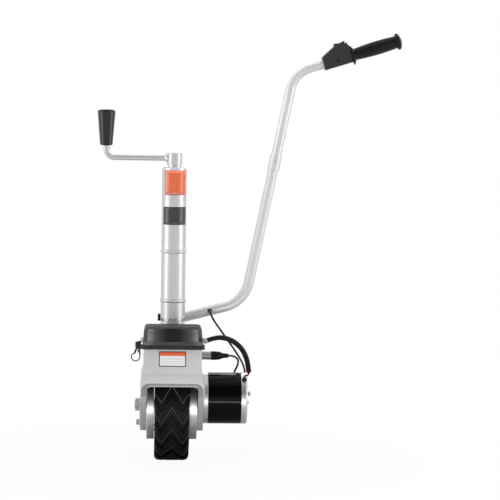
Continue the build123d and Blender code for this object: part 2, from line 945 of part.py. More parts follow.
# Tether
def hanging_strap(top, bottom, width):
    """Flat strap with round ends between two points (x, z)."""
    run_x = top[0] - bottom[0]
    run_z = top[1] - bottom[1]
    face = SlotCenterToCenter(hypot(run_x, run_z), width)
    strap = rearward(face, -tether_strap_half, tether_strap_half)
    middle = Pos((top[0] + bottom[0]) / 2, 0, (top[1] + bottom[1]) / 2)
    return middle * Rot(Y=-degrees(atan2(run_z, run_x))) * strap


def make_tether():
    """Pin in the lug, three straps that hang from it and a wire loop between two of them."""
    body = fore_aft(tether_pin_radius, -lug_half, lug_half)
    body += fore_aft(tether_eye_radius, face_gap - lug_slot_half, lug_slot_half - face_gap)
    for top, bottom, width in (left_strap, middle_strap, right_strap):
        body += hanging_strap(top, bottom, width)
    right_x = right_strap[1][0]
    centre_x = right_x - tether_ring_radius
    low = -tether_ring_drop
    leave = radians(tether_leave_angle)
    leave_point = (centre_x + tether_ring_radius * cos(leave), 0, low + tether_ring_radius * sin(leave))
    arc = ThreePointArc((right_x, 0, low), (centre_x, 0, low - tether_ring_radius), leave_point)
    rise = Line((right_x, 0, right_strap[1][1]), (right_x, 0, low))
    run_in = Line(leave_point, (left_strap[1][0], 0, left_strap[1][1]))
    body += round_bar(rise + arc + run_in, tether_wire)
    return Pos(lug_pin_x(), lug_y, lug_pin_level()) * body


# Steering handle
def along_handle(height):
    """Point (x, z) of the handle's long straight at a height."""
    share = (height - second_bend[1]) / (third_bend[1] - second_bend[1])
    return second_bend[0] + share * (third_bend[0] - second_bend[0]), height


def grip_frame():
    rise = (grip_inner_x - third_bend[0]) * tan(radians(grip_pitch))
    return Pos(grip_inner_x, handle_y, third_bend[1] + rise) * Rot(Y=-grip_pitch)


def handle_axis_frame(height):
    x, z = along_handle(height)
    lean = degrees(atan2(third_bend[0] - second_bend[0], third_bend[1] - second_bend[1]))
    return Pos(x, handle_y, z) * Rot(Y=lean)


def make_handle_lower():
    """Tube with a swaged socket at its top for the upper tube."""
    end_x, end_z = along_handle(joint_height)
    points = [
        (handle_start, handle_y, handle_height), (first_bend_x, handle_y, handle_height),
        (second_bend[0], handle_y, second_bend[1]), (end_x, handle_y, end_z),
    ]
    path = FilletPolyline(*points, radius=[first_bend_radius, second_bend_radius])
    half = joint_length / 2
    joint_sleeve = handle_axis_frame(joint_height) * upright(joint_radius, -half, half)
    body = round_bar(path, handle_radius) + joint_sleeve
    body -= round_bar(path, handle_radius - handle_wall)
    body -= handle_axis_frame(joint_height) * upright(upper_radius + slip, 0, half + 1)
    hole_front = handle_y - 2 * handle_radius
    body -= fore_aft(cable_diameter / 2 + slip, hole_front, handle_y, x=grommet_x, z=grommet_level())
    return body - joint_pin_hole()


def grommet_level():
    slope = (second_bend[1] - handle_height) / (second_bend[0] - first_bend_x)
    return handle_height + slope * (grommet_x - first_bend_x)


def joint_pin_hole():
    hole = fore_aft(joint_pin_radius, -2 * joint_radius, 2 * joint_radius, z=joint_length / 4)
    return handle_axis_frame(joint_height) * hole


def make_handle_upper():
    start_x, start_z = along_handle(joint_height + face_gap)
    end = grip_frame() * Pos(tube_in_grip, 0, 0)
    points = [
        (start_x, handle_y, start_z), (third_bend[0], handle_y, third_bend[1]),
        (end.position.X, handle_y, end.position.Z),
    ]
    path = FilletPolyline(*points, radius=third_bend_radius)
    body = round_bar(path, upper_radius) - round_bar(path, upper_radius - handle_wall)
    return body - joint_pin_hole()


def make_handle_socket():
    body = lying(socket_radius, socket_left, socket_right, y=handle_y, z=handle_height)
    half = socket_post_width / 2
    body += block(-half, half, handle_y - half, handle_y + half, deck_top, handle_height)
    foot_front = collar_flange_radius + face_gap
    foot_half = socket_foot_width / 2
    body += block(
        -foot_half, foot_half, foot_front, handle_y + foot_half / 2,
        deck_top, deck_top + socket_foot_height,
    )
    body -= lying(
        handle_radius + slip, socket_left + socket_end_wall, socket_right + 1,
        y=handle_y, z=handle_height,
    )
    return body - lying(knob_stud_radius, socket_left - 1, socket_left + socket_end_wall + 1,
                        y=handle_y, z=handle_height)


def make_clamp_knob():
    right = socket_left - face_gap
    left = right - knob_width
    body = lying(knob_radius, left, right)
    flutes = 8
    for number in range(flutes):
        flute = lying(knob_radius / 5, left - 1, right + 1, y=knob_radius + 0.4)
        body -= Rot(X=360 / flutes * number) * flute
    body += lying(knob_stud_radius - running_fit, left + 1, handle_start - face_gap)
    return Pos(0, handle_y, handle_height) * body


def make_cable_grommet():
    low = handle_y - handle_radius - grommet_height
    body = fore_aft(grommet_radius, low, handle_y, x=grommet_x, z=grommet_level())
    slope = atan2(second_bend[1] - handle_height, second_bend[0] - first_bend_x)
    tube = Pos(first_bend_x, handle_y, handle_height) * Rot(Y=-degrees(slope))
    return body - tube * lying(handle_radius + slip, 0, 2 * grommet_x)


# Switch and hand grip, drawn along the grip's axis
def shell_outline(inset):
    slope_x = shell_slope_end
    return outline([
        (shell_left + inset, shell_foot + inset), (shell_left + inset, shell_low_top - inset),
        (slope_x, shell_top - inset), (shell_right - shell_nose, shell_top - inset),
        (shell_right - inset, shell_top - 2 * shell_nose), (shell_right - inset, shell_foot + inset),
    ])


def make_switch_shell(side):
    front, rear = sorted((side * shell_seam / 2, side * shell_half_width))
    body = rearward(shell_outline(0), front, rear)
    outer_faces = body.faces().sort_by(Axis.Y)
    rim = outer_faces[0] if side < 0 else outer_faces[-1]
    body = fillet(rim.edges(), shell_round)
    body -= lying(upper_radius + slip, shell_left - 1, shell_right + 1)
    half_room = switch_half_length + face_gap
    half_width = switch_half_width + face_gap
    body -= block(
        switch_centre - half_room, switch_centre + half_room, -half_width, half_width,
        switch_floor - face_gap, shell_top + 1,
    )
    end = side * (shell_half_width + 1)
    hole_front, hole_rear = sorted((side * upper_radius, end))
    body -= fore_aft(shell_screw_radius / 2, hole_front, hole_rear, x=shell_screw_x, z=shell_screw_z)
    return grip_frame() * body


def make_switch_body():
    length = switch_half_length
    width = switch_half_width
    body = block(-length, length, -width, width, switch_floor, shell_top)
    body += block(-length - bezel_margin, length + bezel_margin, -width - bezel_margin, width + bezel_margin,
                  shell_top, shell_top + bezel_height)
    well_length = rocker_half_length + 3 * face_gap
    well_width = rocker_half_width + face_gap
    body -= block(-well_length, well_length, -well_width, well_width, shell_top - switch_well_depth,
                  shell_top + bezel_height + 1)
    body -= fore_aft(rocker_pin_radius + running_fit, -width - 1, width + 1, z=shell_top)
    return grip_frame() * Pos(switch_centre, 0, 0) * body


def make_rocker():
    end = rocker_half_length
    keel = rocker_keel_half
    body = rearward(outline([
        (-end, rocker_root), (-end, rocker_end_height), (0, rocker_middle_height), (end, rocker_end_height),
        (end, rocker_root), (keel, -rocker_keel), (-keel, -rocker_keel),
    ]), -rocker_half_width, rocker_half_width)
    body += fore_aft(rocker_pin_radius, -switch_half_width + slip, switch_half_width - slip)
    return grip_frame() * Pos(switch_centre, 0, shell_top) * body


def make_indicator_plate():
    pitch = degrees(atan2(shell_top - shell_low_top, shell_slope_end - shell_left))
    plate = block(
        plate_start, plate_start + plate_length, -plate_half_width, plate_half_width, 0, plate_thickness,
    )
    return grip_frame() * Pos(shell_left, 0, shell_low_top) * Rot(Y=-pitch) * plate


def make_hand_grip():
    """Rubber grip, thickest in its middle, with a guard at its inner end and a flange at its outer end."""
    left = shell_right
    guard = shell_right + guard_width
    flange = rubber_length - rubber_flange
    nose = rubber_length + rubber_nose
    bore = upper_radius + slip
    end_bore = tube_in_grip + face_gap
    inner = Polyline(
        (end_bore, 0), (end_bore, bore), (left, bore), (left, guard_radius),
        (left + guard_edge, guard_radius), (guard, rubber_inner),
    )
    middle = ((guard + flange) / 2, rubber_middle)
    barrel = ThreePointArc((guard, rubber_inner), middle, (flange, rubber_radius))
    outer = Polyline(
        (flange, rubber_radius), (flange, rubber_flange_radius), (rubber_length, rubber_flange_radius),
        (rubber_length, rubber_radius), (nose, rubber_radius - rubber_nose), (nose, 0), (end_bore, 0),
    )
    face = make_face([inner, barrel, outer])
    guard_corners = [v for v in face.vertices() if abs(v.Y - guard_radius) < 0.01]
    face = fillet(guard_corners, guard_round)
    flange_corners = [v for v in face.vertices() if abs(v.Y - rubber_flange_radius) < 0.01]
    face = fillet(flange_corners, rubber_round)
    return grip_frame() * revolve(Plane.XZ * face, Axis.X)


# Wheel
def make_tyre():
    half = half_tyre
    points = [
        (-half + rim_inset, tyre_seat_radius), (-half, tyre_seat_radius + rim_inset), (-half, wheel_radius),
        (half, wheel_radius), (half, tyre_seat_radius + rim_inset), (half - rim_inset, tyre_seat_radius),
    ]
    body = turned_x(points, [(-half, wheel_radius), (half, wheel_radius)], tyre_shoulder)
    mid_radius = wheel_radius - tread_depth / 2
    cutters = []
    for number in range(tread_count):
        start = 360 / tread_count * number
        for side in (-1, 1):
            trough = (side * tread_trough_x, start - tread_trough_angle)
            end = (side * (half + 2), start - tread_end_angle)
            for first, second in (((0.0, start), trough), (trough, end)):
                cutters.append(tread_bar(first, second, mid_radius))
    return Pos(0, 0, axle_height) * (body - cutters)


def tread_bar(first, second, mid_radius):
    """Bar that cuts one straight stretch of a tread groove between two (x, degrees) points."""
    run_x = second[0] - first[0]
    run_s = radians(second[1] - first[1]) * mid_radius
    length = hypot(run_x, run_s)
    turn = degrees(atan2(run_s, run_x))
    middle = (first[1] + second[1]) / 2
    bar = Box(length + tread_groove / 3, tread_groove, 2 * tread_depth)
    placed = Pos((first[0] + second[0]) / 2, 0, wheel_radius) * Rot(Z=turn) * bar
    return Rot(X=-middle) * placed


def make_wheel_rim():
    half = half_tyre - rim_inset
    seat = tyre_seat_radius - slip
    body = lying(seat, -half, half, seat - rim_wall)
    body += lying(seat - slip, -rim_web / 2, rim_web / 2)
    body += lying(hub_radius, -half, half)
    for side in (-1, 1):
        inner, outer = sorted((side * (half - rim_wall), side * half))
        body += lying(seat - slip, inner, outer, drum_bolt_circle - 3 * drum_bolt_radius)
    body -= lying(bearing_radius - 4, -half - 1, half + 1)
    for side in (-1, 1):
        inner, outer = sorted((side * (half - bearing_width), side * (half + 1)))
        body -= lying(bearing_radius + slip, inner, outer)
        for y, z in drum_bolt_places():
            inner, outer = sorted((side * (half - drum_bolt_length), side * (half + 1)))
            body -= lying(drum_bolt_radius, inner, outer, y=y, z=z)
    return Pos(0, 0, axle_height) * body


def drum_bolt_places():
    step = 2 * pi / drum_bolt_count
    return [
        (drum_bolt_circle * cos(step * n), drum_bolt_circle * sin(step * n))
        for n in range(drum_bolt_count)
    ]


def bolt_head(length):
    """Countersunk head profile, as deep as the drum's web."""
    wide = drum_bolt_radius + drum_web * 0.8
    return turned_x([
        (0, 0), (0, wide), (-drum_web * 0.8, drum_bolt_radius), (-length, drum_bolt_radius), (-length, 0),
    ])


def make_drum(side):
    inner = drum_inner
    body = lying(drum_radius, inner, drum_outer, drum_radius - drum_wall)
    if side > 0:
        tooth_angle = mesh_angle + half_turn / drum_teeth
        teeth = gear_face(drum_teeth, drive_module, tooth_angle, inward=True)
        toothed = Circle(drum_radius - drum_wall / 2) - teeth
        body += across(toothed, inner, drum_outer)
    body += lying(drum_radius - drum_wall / 2, inner, inner + drum_web)
    body -= lying(drum_bore, inner - 1, inner + drum_web + 1)
    head = bolt_head(2 * drum_web)
    for y, z in drum_bolt_places():
        body -= Pos(inner + drum_web, y, z) * head
    if side < 0:
        body = mirror(body, Plane.YZ)
    return Pos(0, 0, axle_height) * body


def make_drum_bolts():
    bolts = []
    length = drum_web + drum_gap + drum_bolt_length
    shape = bolt_head(length)
    slim = scale(shape, (1, 0.99, 0.99))
    for y, z in drum_bolt_places():
        bolt = Pos(drum_inner + drum_web, y, z) * slim
        bolts.append(Pos(0, 0, axle_height) * bolt)
        bolts.append(Pos(0, 0, axle_height) * mirror(bolt, Plane.YZ))
    return Compound(children=bolts)


def make_wheel_bearings():
    half = half_tyre - rim_inset
    rings = []
    for side in (-1, 1):
        inner, outer = sorted((side * (half - bearing_width), side * half))
        rings.append(lying(bearing_radius, inner, outer, axle_radius + running_fit, z=axle_height))
    return Compound(children=rings)


def make_axle_spacers():
    half = half_tyre - rim_inset + face_gap
    boss = cheek_face - bearing_boss_depth
    spacers = []
    for side in (-1, 1):
        inner, outer = sorted((side * half, side * boss))
        spacers.append(lying(spacer_radius, inner, outer, axle_radius + slip, z=axle_height))
    return Compound(children=spacers)


def make_axle():
    return lying(axle_radius, axle_left, cheek_outer, z=axle_height)


def make_axle_keeper():
    low = axle_height - keeper_bolt_drop - keeper_width / 3
    high = axle_height + keeper_width / 2 + 2
    plate = block(keeper_left, -cheek_outer, -keeper_width / 2, keeper_width / 2, low, high)
    plate = fillet(plate.edges().filter_by(Axis.X), keeper_width / 5)
    plate -= lying(axle_radius + slip, keeper_left - 1, 0, z=axle_height)
    return plate - lying(keeper_bolt_radius, keeper_left - 1, 0, z=axle_height - keeper_bolt_drop)


def hex_head(flats, left, right):
    """Hexagon along X with its outer end turned to a cone."""
    prism = across(hexagon(flats), left, right)
    corner = flats / sqrt(3)
    wide = corner + nut_chamfer / 4
    slope = left + nut_chamfer
    return prism & turned_x([
        (left, 0), (left, corner - nut_chamfer), (slope, wide), (right, wide), (right, 0),
    ])


def make_axle_fasteners():
    """Nut on the axle and the bolt that holds the keeper plate."""
    nut_bore = lying(axle_radius + slip, nut_left - 1, keeper_left + 1)
    nut = hex_head(nut_flats, nut_left, keeper_left) - nut_bore
    bolt = hex_head(keeper_head_flats, keeper_left - keeper_head, keeper_left)
    bolt += lying(keeper_bolt_radius - slip, keeper_left, -cheek_face + keeper_nut)
    bolt += lying(keeper_head_flats / 2, -cheek_face, -cheek_face + keeper_nut)
    return Compound(children=[Pos(0, 0, axle_height) * nut, Pos(0, 0, axle_height - keeper_bolt_drop) * bolt])


# Motor and planetary gear
def at_motor(shape):
    return Pos(0, motor_y, motor_z) * shape


def stud_places():
    turns = (stud_angle, stud_angle + half_turn)
    return [(stud_circle * cos(radians(turn)), stud_circle * sin(radians(turn))) for turn in turns]


def make_gearcase():
    """Flanged case with the ring gear cut in it and a seat for the motor's front bearing."""
    pocket_end = cheek_outer + gearcase_depth
    body = lying(gearcase_radius, cheek_outer, gearcase_end)
    body = fillet(body.edges().sort_by(Axis.X)[-1], gearcase_wall / 2)
    body += lying(
        motor_bearing_radius + gearcase_wall, gearcase_end - 1,
        front_bearing_left() + motor_bearing_width,
    )
    teeth = gear_face(ring_teeth, planet_module, mesh_angle + half_turn / ring_teeth, inward=True)
    body -= across(teeth, cheek_outer - 1, pocket_end)
    body -= lying(motor_bearing_radius - gearcase_wall, pocket_end - 1, gearcase_end)
    body -= lying(motor_bearing_radius + slip, front_bearing_left(), gearcase_end + motor_bearing_width)
    for y, z in stud_places():
        body -= lying(stud_radius, cheek_outer - 1, gearcase_end + 1, y=y, z=z)
    return at_motor(body)


def front_bearing_left():
    return cheek_outer + gearcase_depth + gearcase_wall / 3


def make_planet(number):
    angle = mesh_angle + 360 / planet_count * number
    face = gear_face(planet_teeth, planet_module, angle) - Circle(planet_pin_radius + running_fit)
    gear = across(face, gear_left + face_gap, gear_right - face_gap)
    place = Pos(0, planet_orbit * cos(radians(angle)), planet_orbit * sin(radians(angle)))
    return at_motor(place * gear)


def make_planet_carrier():
    """Output pinion, neck, plate and planet pins in one piece."""
    right = cheek_outer - face_gap
    left = right - carrier_thickness
    gear_low = drum_inner + drum_web + 3 * face_gap
    gear_high = drum_outer - pinion_relief
    body = across(gear_face(pinion_teeth, drive_module, mesh_angle), gear_low, gear_high)
    body += lying(neck_radius, gear_high - 1, left)
    body += lying(carrier_radius, left, right)
    for number in range(planet_count):
        angle = radians(mesh_angle + 360 / planet_count * number)
        y = planet_orbit * cos(angle)
        z = planet_orbit * sin(angle)
        body += lying(planet_pin_radius, left, gear_right - face_gap, y=y, z=z)
    return at_motor(body)


def make_motor_can():
    body = lying(motor_radius, gearcase_end, can_end, motor_radius - motor_wall)
    return at_motor(body)


def make_magnets():
    low = gearcase_end + magnet_start
    ring = lying(motor_radius - motor_wall - slip, low, low + magnet_length, magnet_inner)
    gap = half_turn - magnet_span
    reach = 2 * motor_radius
    magnets = ring
    for angle in (stud_angle, stud_angle + half_turn):
        left = radians(angle - gap / 2)
        right = radians(angle + gap / 2)
        wedge = outline([
            (0, 0), (reach * cos(left), reach * sin(left)), (reach * cos(right), reach * sin(right)),
        ])
        magnets -= across(wedge, low - 1, low + magnet_length + 1)
    return at_motor(magnets)


def make_rotor():
    """Shaft with the sun gear cut on it, slotted armature and commutator."""
    sun_left = gear_left + face_gap
    sun_right = gear_right - face_gap
    shaft_right = motor_end - motor_cap_wall + shaft_tail
    shaft = lying(shaft_radius, sun_right, shaft_right)
    sun_face = gear_face(sun_teeth, planet_module, mesh_angle + half_turn / sun_teeth)
    shaft += across(sun_face, sun_left, sun_right)
    low = gearcase_end + armature_start
    high = low + armature_length
    armature = lying(armature_radius, low, high, shaft_radius + slip)
    half_slot = armature_slot_width / 2
    slot_floor = armature_radius - armature_slot_depth
    slot = block(low - 1, high + 1, -half_slot, half_slot, slot_floor, armature_radius + 1)
    for number in range(armature_slots):
        armature -= Rot(X=360 / armature_slots * number) * slot
    bars = gearcase_end + commutator_start
    commutator = lying(commutator_radius, bars, bars + commutator_length, shaft_radius + slip)
    return Compound(children=[at_motor(piece) for piece in (shaft, armature, commutator)])


def make_brush_holder():
    low = gearcase_end + commutator_start + (commutator_length - brush_width) / 2
    high = low + brush_width
    ring = lying(motor_radius - motor_wall - slip, low, low + brush_width / 2, brush_outer)
    for side in (-1, 1):
        inner, outer = sorted((side * (commutator_radius + face_gap), side * (brush_outer + brush_width / 2)))
        ring += block(low, high, inner, outer, -brush_width / 2, brush_width / 2)
    for y, z in stud_places():
        ring -= lying(stud_radius + face_gap, low - 1, high + 1, y=y, z=z)
    return at_motor(ring)


def make_motor_bearings():
    """Plain bearing of the pinion's neck and the two ball bearings of the rotor."""
    drive_left = cheek_face - bearing_boss_depth
    drive_right = cheek_outer - 2 * face_gap - carrier_thickness
    front = front_bearing_left()
    rear = motor_end - motor_cap_wall - motor_bearing_width
    rings = [
        lying(drive_bearing_radius, drive_left, drive_right, neck_radius + running_fit),
        lying(motor_bearing_radius, front, front + motor_bearing_width, shaft_radius + running_fit),
        lying(motor_bearing_radius, rear, rear + motor_bearing_width, shaft_radius + running_fit),
    ]
    return Compound(children=[at_motor(ring) for ring in rings])


def make_end_cap():
    wall_inside = motor_end - motor_cap_wall
    body = lying(motor_radius, can_end, motor_end)
    body = fillet(body.edges().sort_by(Axis.X)[-1], motor_cap_round)
    body -= lying(
        motor_radius - motor_cap_rim, can_end - 1, wall_inside, motor_bearing_radius + motor_cap_rim,
    )
    body -= lying(motor_bearing_radius + slip, can_end - 1, wall_inside)
    body -= lying(shaft_radius + 1, can_end, wall_inside + shaft_tail + face_gap)
    for y, z in stud_places():
        body -= lying(stud_radius, can_end - 1, motor_end + 1, y=y, z=z)
    lead_hole = lying(wire_diameter + wire_spread / 2, motor_bearing_radius - motor_radius, 1)
    return at_motor(body - grommet_place() * lead_hole)


def make_motor_studs():
    """Long bolts from inside the cheek through the gearcase and the can."""
    studs = []
    for y, z in stud_places():
        rod = lying(stud_radius - slip, cheek_face - 1, motor_end + stud_nut_height + stud_tail)
        head = lying(stud_head_radius, cheek_face - stud_head_height, cheek_face)
        nut = across(hexagon(2 * stud_nut_radius * cos(pi / 6)), motor_end, motor_end + stud_nut_height)
        studs.append(at_motor(Pos(0, y, z) * (rod + head + nut)))
    return Compound(children=studs)


def grommet_place():
    """Frame on the end cap's side, X pointing out of it, in the motor's own frame."""
    across_y = cos(radians(motor_grommet_angle))
    across_z = sin(radians(motor_grommet_angle))
    origin = (can_end + motor_cap / 2, motor_radius * across_y, motor_radius * across_z)
    return Plane(origin=origin, x_dir=(0, across_y, across_z), z_dir=(1, 0, 0)).location


def make_motor_grommet():
    radius = motor_grommet_radius
    body = turned_x([
        (-0.5, 0), (-0.5, radius - 1), (1.2, radius), (4.2, radius - 0.8),
        (motor_grommet_height, radius - 3.2),
        (motor_grommet_height, 0),
    ])
    body = grommet_place() * body
    return at_motor(body - lying(motor_radius + slip, can_end - 5, motor_end + 5))


# Conduit, cable and wires
conduit_points = [
    (84.8, -70.0, 305.2), (105.9, -70.0, 312.9), (129.4, -65.0, 311.0), (150.4, -56.2, 301.2),
    (167.3, -46.0, 286.0), (179.0, -36.0, 267.2), (186.2, -26.8, 245.8), (189.3, -18.6, 222.0),
]

cable_points = [
    (92.0, 33.0, 367.3), (92.1, 21.0, 367.0), (94.5, 10.8, 361.2), (99.8, 5.8, 350.3), (108.0, 7.5, 337.5),
    (118.0, 14.5, 323.5), (129.0, 25.0, 308.0), (141.0, 38.5, 290.5), (153.0, 54.5, 272.5),
    (164.0, 71.0, 256.0), (173.0, 88.5, 240.5), (180.5, 106.5, 225.0), (185.5, 122.5, 208.5),
    (188.2, 133.5, 190.5), (188.2, 139.0, 172.5), (181.0, 136.8, 160.3), (169.5, 131.8, 156.3),
    (158.3, 126.8, 161.0), (151.8, 122.5, 172.5), (152.2, 117.0, 186.0), (156.0, 108.5, 201.0),
    (161.5, 100.0, 213.5), (166.2, 92.0, 226.0), (167.7, 84.0, 237.4), (162.6, 78.3, 246.0),
    (152.8, 75.0, 251.0), (142.0, 75.0, 251.0),
]

lead_points = [
    (188.4, -21.3, 230.0), (189.6, -18.0, 220.2), (188.5, -12.2, 212.9), (184.3, -3.0, 211.2),
    (180.6, 7.3, 209.6), (180.6, 12.3, 203.4),
]


def make_conduit_gland():
    """Collar with a neck through the lid's flange and a nozzle tilted upwards."""
    elbow_x = tray_half_width + gland_reach
    tilt = Pos(elbow_x, 0, 0) * Rot(Y=-gland_tilt)
    body = tilt * lying(gland_radius, -gland_reach, gland_nozzle)
    body -= block(
        0, tray_half_width, -2 * gland_radius, 2 * gland_radius, -2 * gland_radius, 2 * gland_radius,
    )
    body += lying(gland_radius + gland_lip, tray_half_width, tray_half_width + gland_reach / 2)
    body += lying(gland_neck - slip, lid_foot_half_width - lid_wall, elbow_x)
    body -= lying(gland_bore, 0, elbow_x)
    body -= tilt * lying(gland_bore, -gland_bore / 2, gland_nozzle + 1)
    return Pos(0, gland_y, gland_height()) * body


def make_cable_glands():
    """Elbow of the conduit, grommet of the motor leads and grommet of the control cable."""
    return Compound(children=[make_conduit_gland(), make_motor_grommet(), make_cable_grommet()])


def make_conduit():
    path = cord_path("conduit", conduit_points)
    steady = (0, 1, 0.0001)
    ridge = conduit_diameter / 2
    pitch = 1 / conduit_ribs
    sections = []
    for number in range(conduit_ribs):
        for share, radius in ((0.0, conduit_valley), (0.25, ridge), (0.5, ridge), (0.75, conduit_valley)):
            place = (number + share) * pitch
            sections.append(Plane(origin=path @ place, x_dir=steady, z_dir=path % place) * Circle(radius))
    sections.append(Plane(origin=path @ 1, x_dir=steady, z_dir=path % 1) * Circle(conduit_valley))
    print("conduit length", round(path.length, 1), "rib pitch", round(path.length * pitch, 2))
    return loft(sections, ruled=True) - round_bar(path, conduit_bore)


def make_control_cable():
    path = cord_path("control cable", cable_points)
    body = round_bar(path, cable_diameter / 2)
    check_tube("control cable", body, path, cable_diameter / 2)
    return body


def make_motor_leads():
    """Two wires side by side from the conduit's open end to the motor's grommet."""
    leads = []
    for side in (-1, 1):
        points = [(x + side * wire_spread, y, z) for x, y, z in lead_points]
        path = cord_path("motor lead", points)
        leads.append(round_bar(path, wire_diameter / 2))
        check_tube("motor lead", leads[-1], path, wire_diameter / 2)
    return Compound(children=leads)


parts = {
    "outer_tube": make_outer_tube(),
    "guide_bush": make_guide_bush(),
    "top_cap": make_top_cap(),
    "thrust_bearing": make_thrust_bearing(),
    "lead_screw": make_lead_screw(),
    "crank_arm": make_crank_arm(),
    "crank_pins": make_crank_pins(),
    "crank_grip": make_crank_grip(),
    "inner_tube": make_inner_tube(),
    "screw_nut": make_screw_nut(),
    "swivel_bolt": make_swivel_bolt(),
    "swivel_bush": make_swivel_bush(),
    "swivel_collar": make_swivel_collar(),
    "housing": make_housing(),
    "box_base": make_box_base(),
    "lid_gasket": make_lid_gasket(),
    "lid": make_lid(),
    "cover_screws": make_cover_screws(),
    "control_board": make_control_board(),
    "label_plate": make_label_plate(),
    "socket_connector": make_socket_connector(),
    "connector_ring": make_connector_ring(),
    "connector_plug": make_connector_plug(),
    "tether": make_tether(),
    "handle_socket": make_handle_socket(),
    "clamp_knob": make_clamp_knob(),
    "handle_lower": make_handle_lower(),
    "handle_upper": make_handle_upper(),
    "control_cable": make_control_cable(),
    "switch_shell_front": make_switch_shell(-1),
    "switch_shell_rear": make_switch_shell(1),
    "switch_body": make_switch_body(),
    "rocker": make_rocker(),
    "indicator_plate": make_indicator_plate(),
    "hand_grip": make_hand_grip(),
    "tyre": make_tyre(),
    "wheel_rim": make_wheel_rim(),
    "drum_left": make_drum(-1),
    "drum_right": make_drum(1),
    "drum_bolts": make_drum_bolts(),
    "wheel_bearings": make_wheel_bearings(),
    "axle": make_axle(),
    "axle_spacers": make_axle_spacers(),
    "axle_fasteners": make_axle_fasteners(),
    "axle_keeper": make_axle_keeper(),
    "gearcase": make_gearcase(),
    "planet_carrier": make_planet_carrier(),
    "motor_bearings": make_motor_bearings(),
    "rotor": make_rotor(),
    "magnets": make_magnets(),
    "motor_can": make_motor_can(),
    "brush_holder": make_brush_holder(),
    "end_cap": make_end_cap(),
    "motor_studs": make_motor_studs(),
    "cable_glands": make_cable_glands(),
    "conduit": make_conduit(),
    "motor_leads": make_motor_leads(),
}
for number in range(planet_count):
    parts[f"planet_gear_{number + 1}"] = make_planet(number)

for name, shape in parts.items():
    export_step(Pos(0, 0, -origin_height) * shape, f"parts/{name}.step")
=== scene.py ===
# %% [markdown]
# Motorised jockey wheel, dressed for a studio photograph.
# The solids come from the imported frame. This lesson gives them paint, plating, rubber and plastic, and adds the
# pieces that a solid modeller does badly: a ribbed hose, cables, a tyre tread, a knurled grip and stickers.
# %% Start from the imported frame
import json
from math import cos, degrees, pi, radians, sin, tan

import bpy
import numpy as np
from mathutils import Matrix, Vector


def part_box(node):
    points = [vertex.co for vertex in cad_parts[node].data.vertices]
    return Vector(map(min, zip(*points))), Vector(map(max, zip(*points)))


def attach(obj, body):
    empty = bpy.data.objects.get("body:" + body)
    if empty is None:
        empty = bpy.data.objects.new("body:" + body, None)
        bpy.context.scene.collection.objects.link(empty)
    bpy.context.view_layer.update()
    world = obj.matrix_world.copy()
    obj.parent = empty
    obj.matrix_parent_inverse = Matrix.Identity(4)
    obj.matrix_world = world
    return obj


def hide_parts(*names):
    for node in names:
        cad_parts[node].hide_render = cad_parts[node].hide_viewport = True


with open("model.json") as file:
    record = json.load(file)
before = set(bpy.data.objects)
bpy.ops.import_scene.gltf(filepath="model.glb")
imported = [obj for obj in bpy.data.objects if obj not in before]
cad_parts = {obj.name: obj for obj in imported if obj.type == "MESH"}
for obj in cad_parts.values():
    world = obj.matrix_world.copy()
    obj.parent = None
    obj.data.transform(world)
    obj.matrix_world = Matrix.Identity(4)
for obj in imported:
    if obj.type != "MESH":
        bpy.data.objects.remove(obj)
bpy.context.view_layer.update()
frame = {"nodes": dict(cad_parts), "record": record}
nodes = frame["nodes"]

# %% [markdown]
# The frame's zero is on the jack tube's axis, at the middle of the stretch that a clamp holds. Heights are easier
# to read from the floor up and in millimetres, so one helper turns such a point into the frame's metres.
# %% Millimetres above the floor
floor_level = -0.62075


def place(x, y, z):
    """Point in millimetres, with z from the floor up, as metres in the frame."""
    return Vector((x / 1000, y / 1000, z / 1000 + floor_level))


# %% [markdown]
# The photograph was taken from about five metres away with a long lens, from a little above the handle's foot.
# The camera is set from those measures, so that the picture's proportions come out by themselves. A long lens
# keeps the upright tube nearly parallel to the picture's edge.
# %% Camera
camera_distance = 5.0
camera_height = 0.845
picture_scale = 0.00247
picture_pixels = 500
look_at = place(188.7, 0, 522.8)
camera_azimuth = radians(2.7)
camera_roll = radians(0.85)

drop = camera_height + floor_level - look_at.z
pitch = np.arcsin(drop / camera_distance)
forward = Vector((sin(camera_azimuth) * cos(pitch), cos(camera_azimuth) * cos(pitch), -sin(pitch)))
camera_data = bpy.data.cameras.new("camera")
camera_data.sensor_width = 36.0
camera_data.lens = camera_data.sensor_width * camera_distance / (picture_scale * picture_pixels)
camera = bpy.data.objects.new("camera", camera_data)
stand = Matrix.Translation(look_at - forward * camera_distance)
aim = forward.to_track_quat("-Z", "Y").to_matrix().to_4x4()
camera.matrix_world = stand @ aim @ Matrix.Rotation(camera_roll, 4, "Z")
bpy.context.collection.objects.link(camera)
bpy.context.scene.camera = camera
bpy.context.scene.view_settings.view_transform = "Standard"
print("lens", round(camera_data.lens, 1), "mm, pitch", round(degrees(pitch), 2))

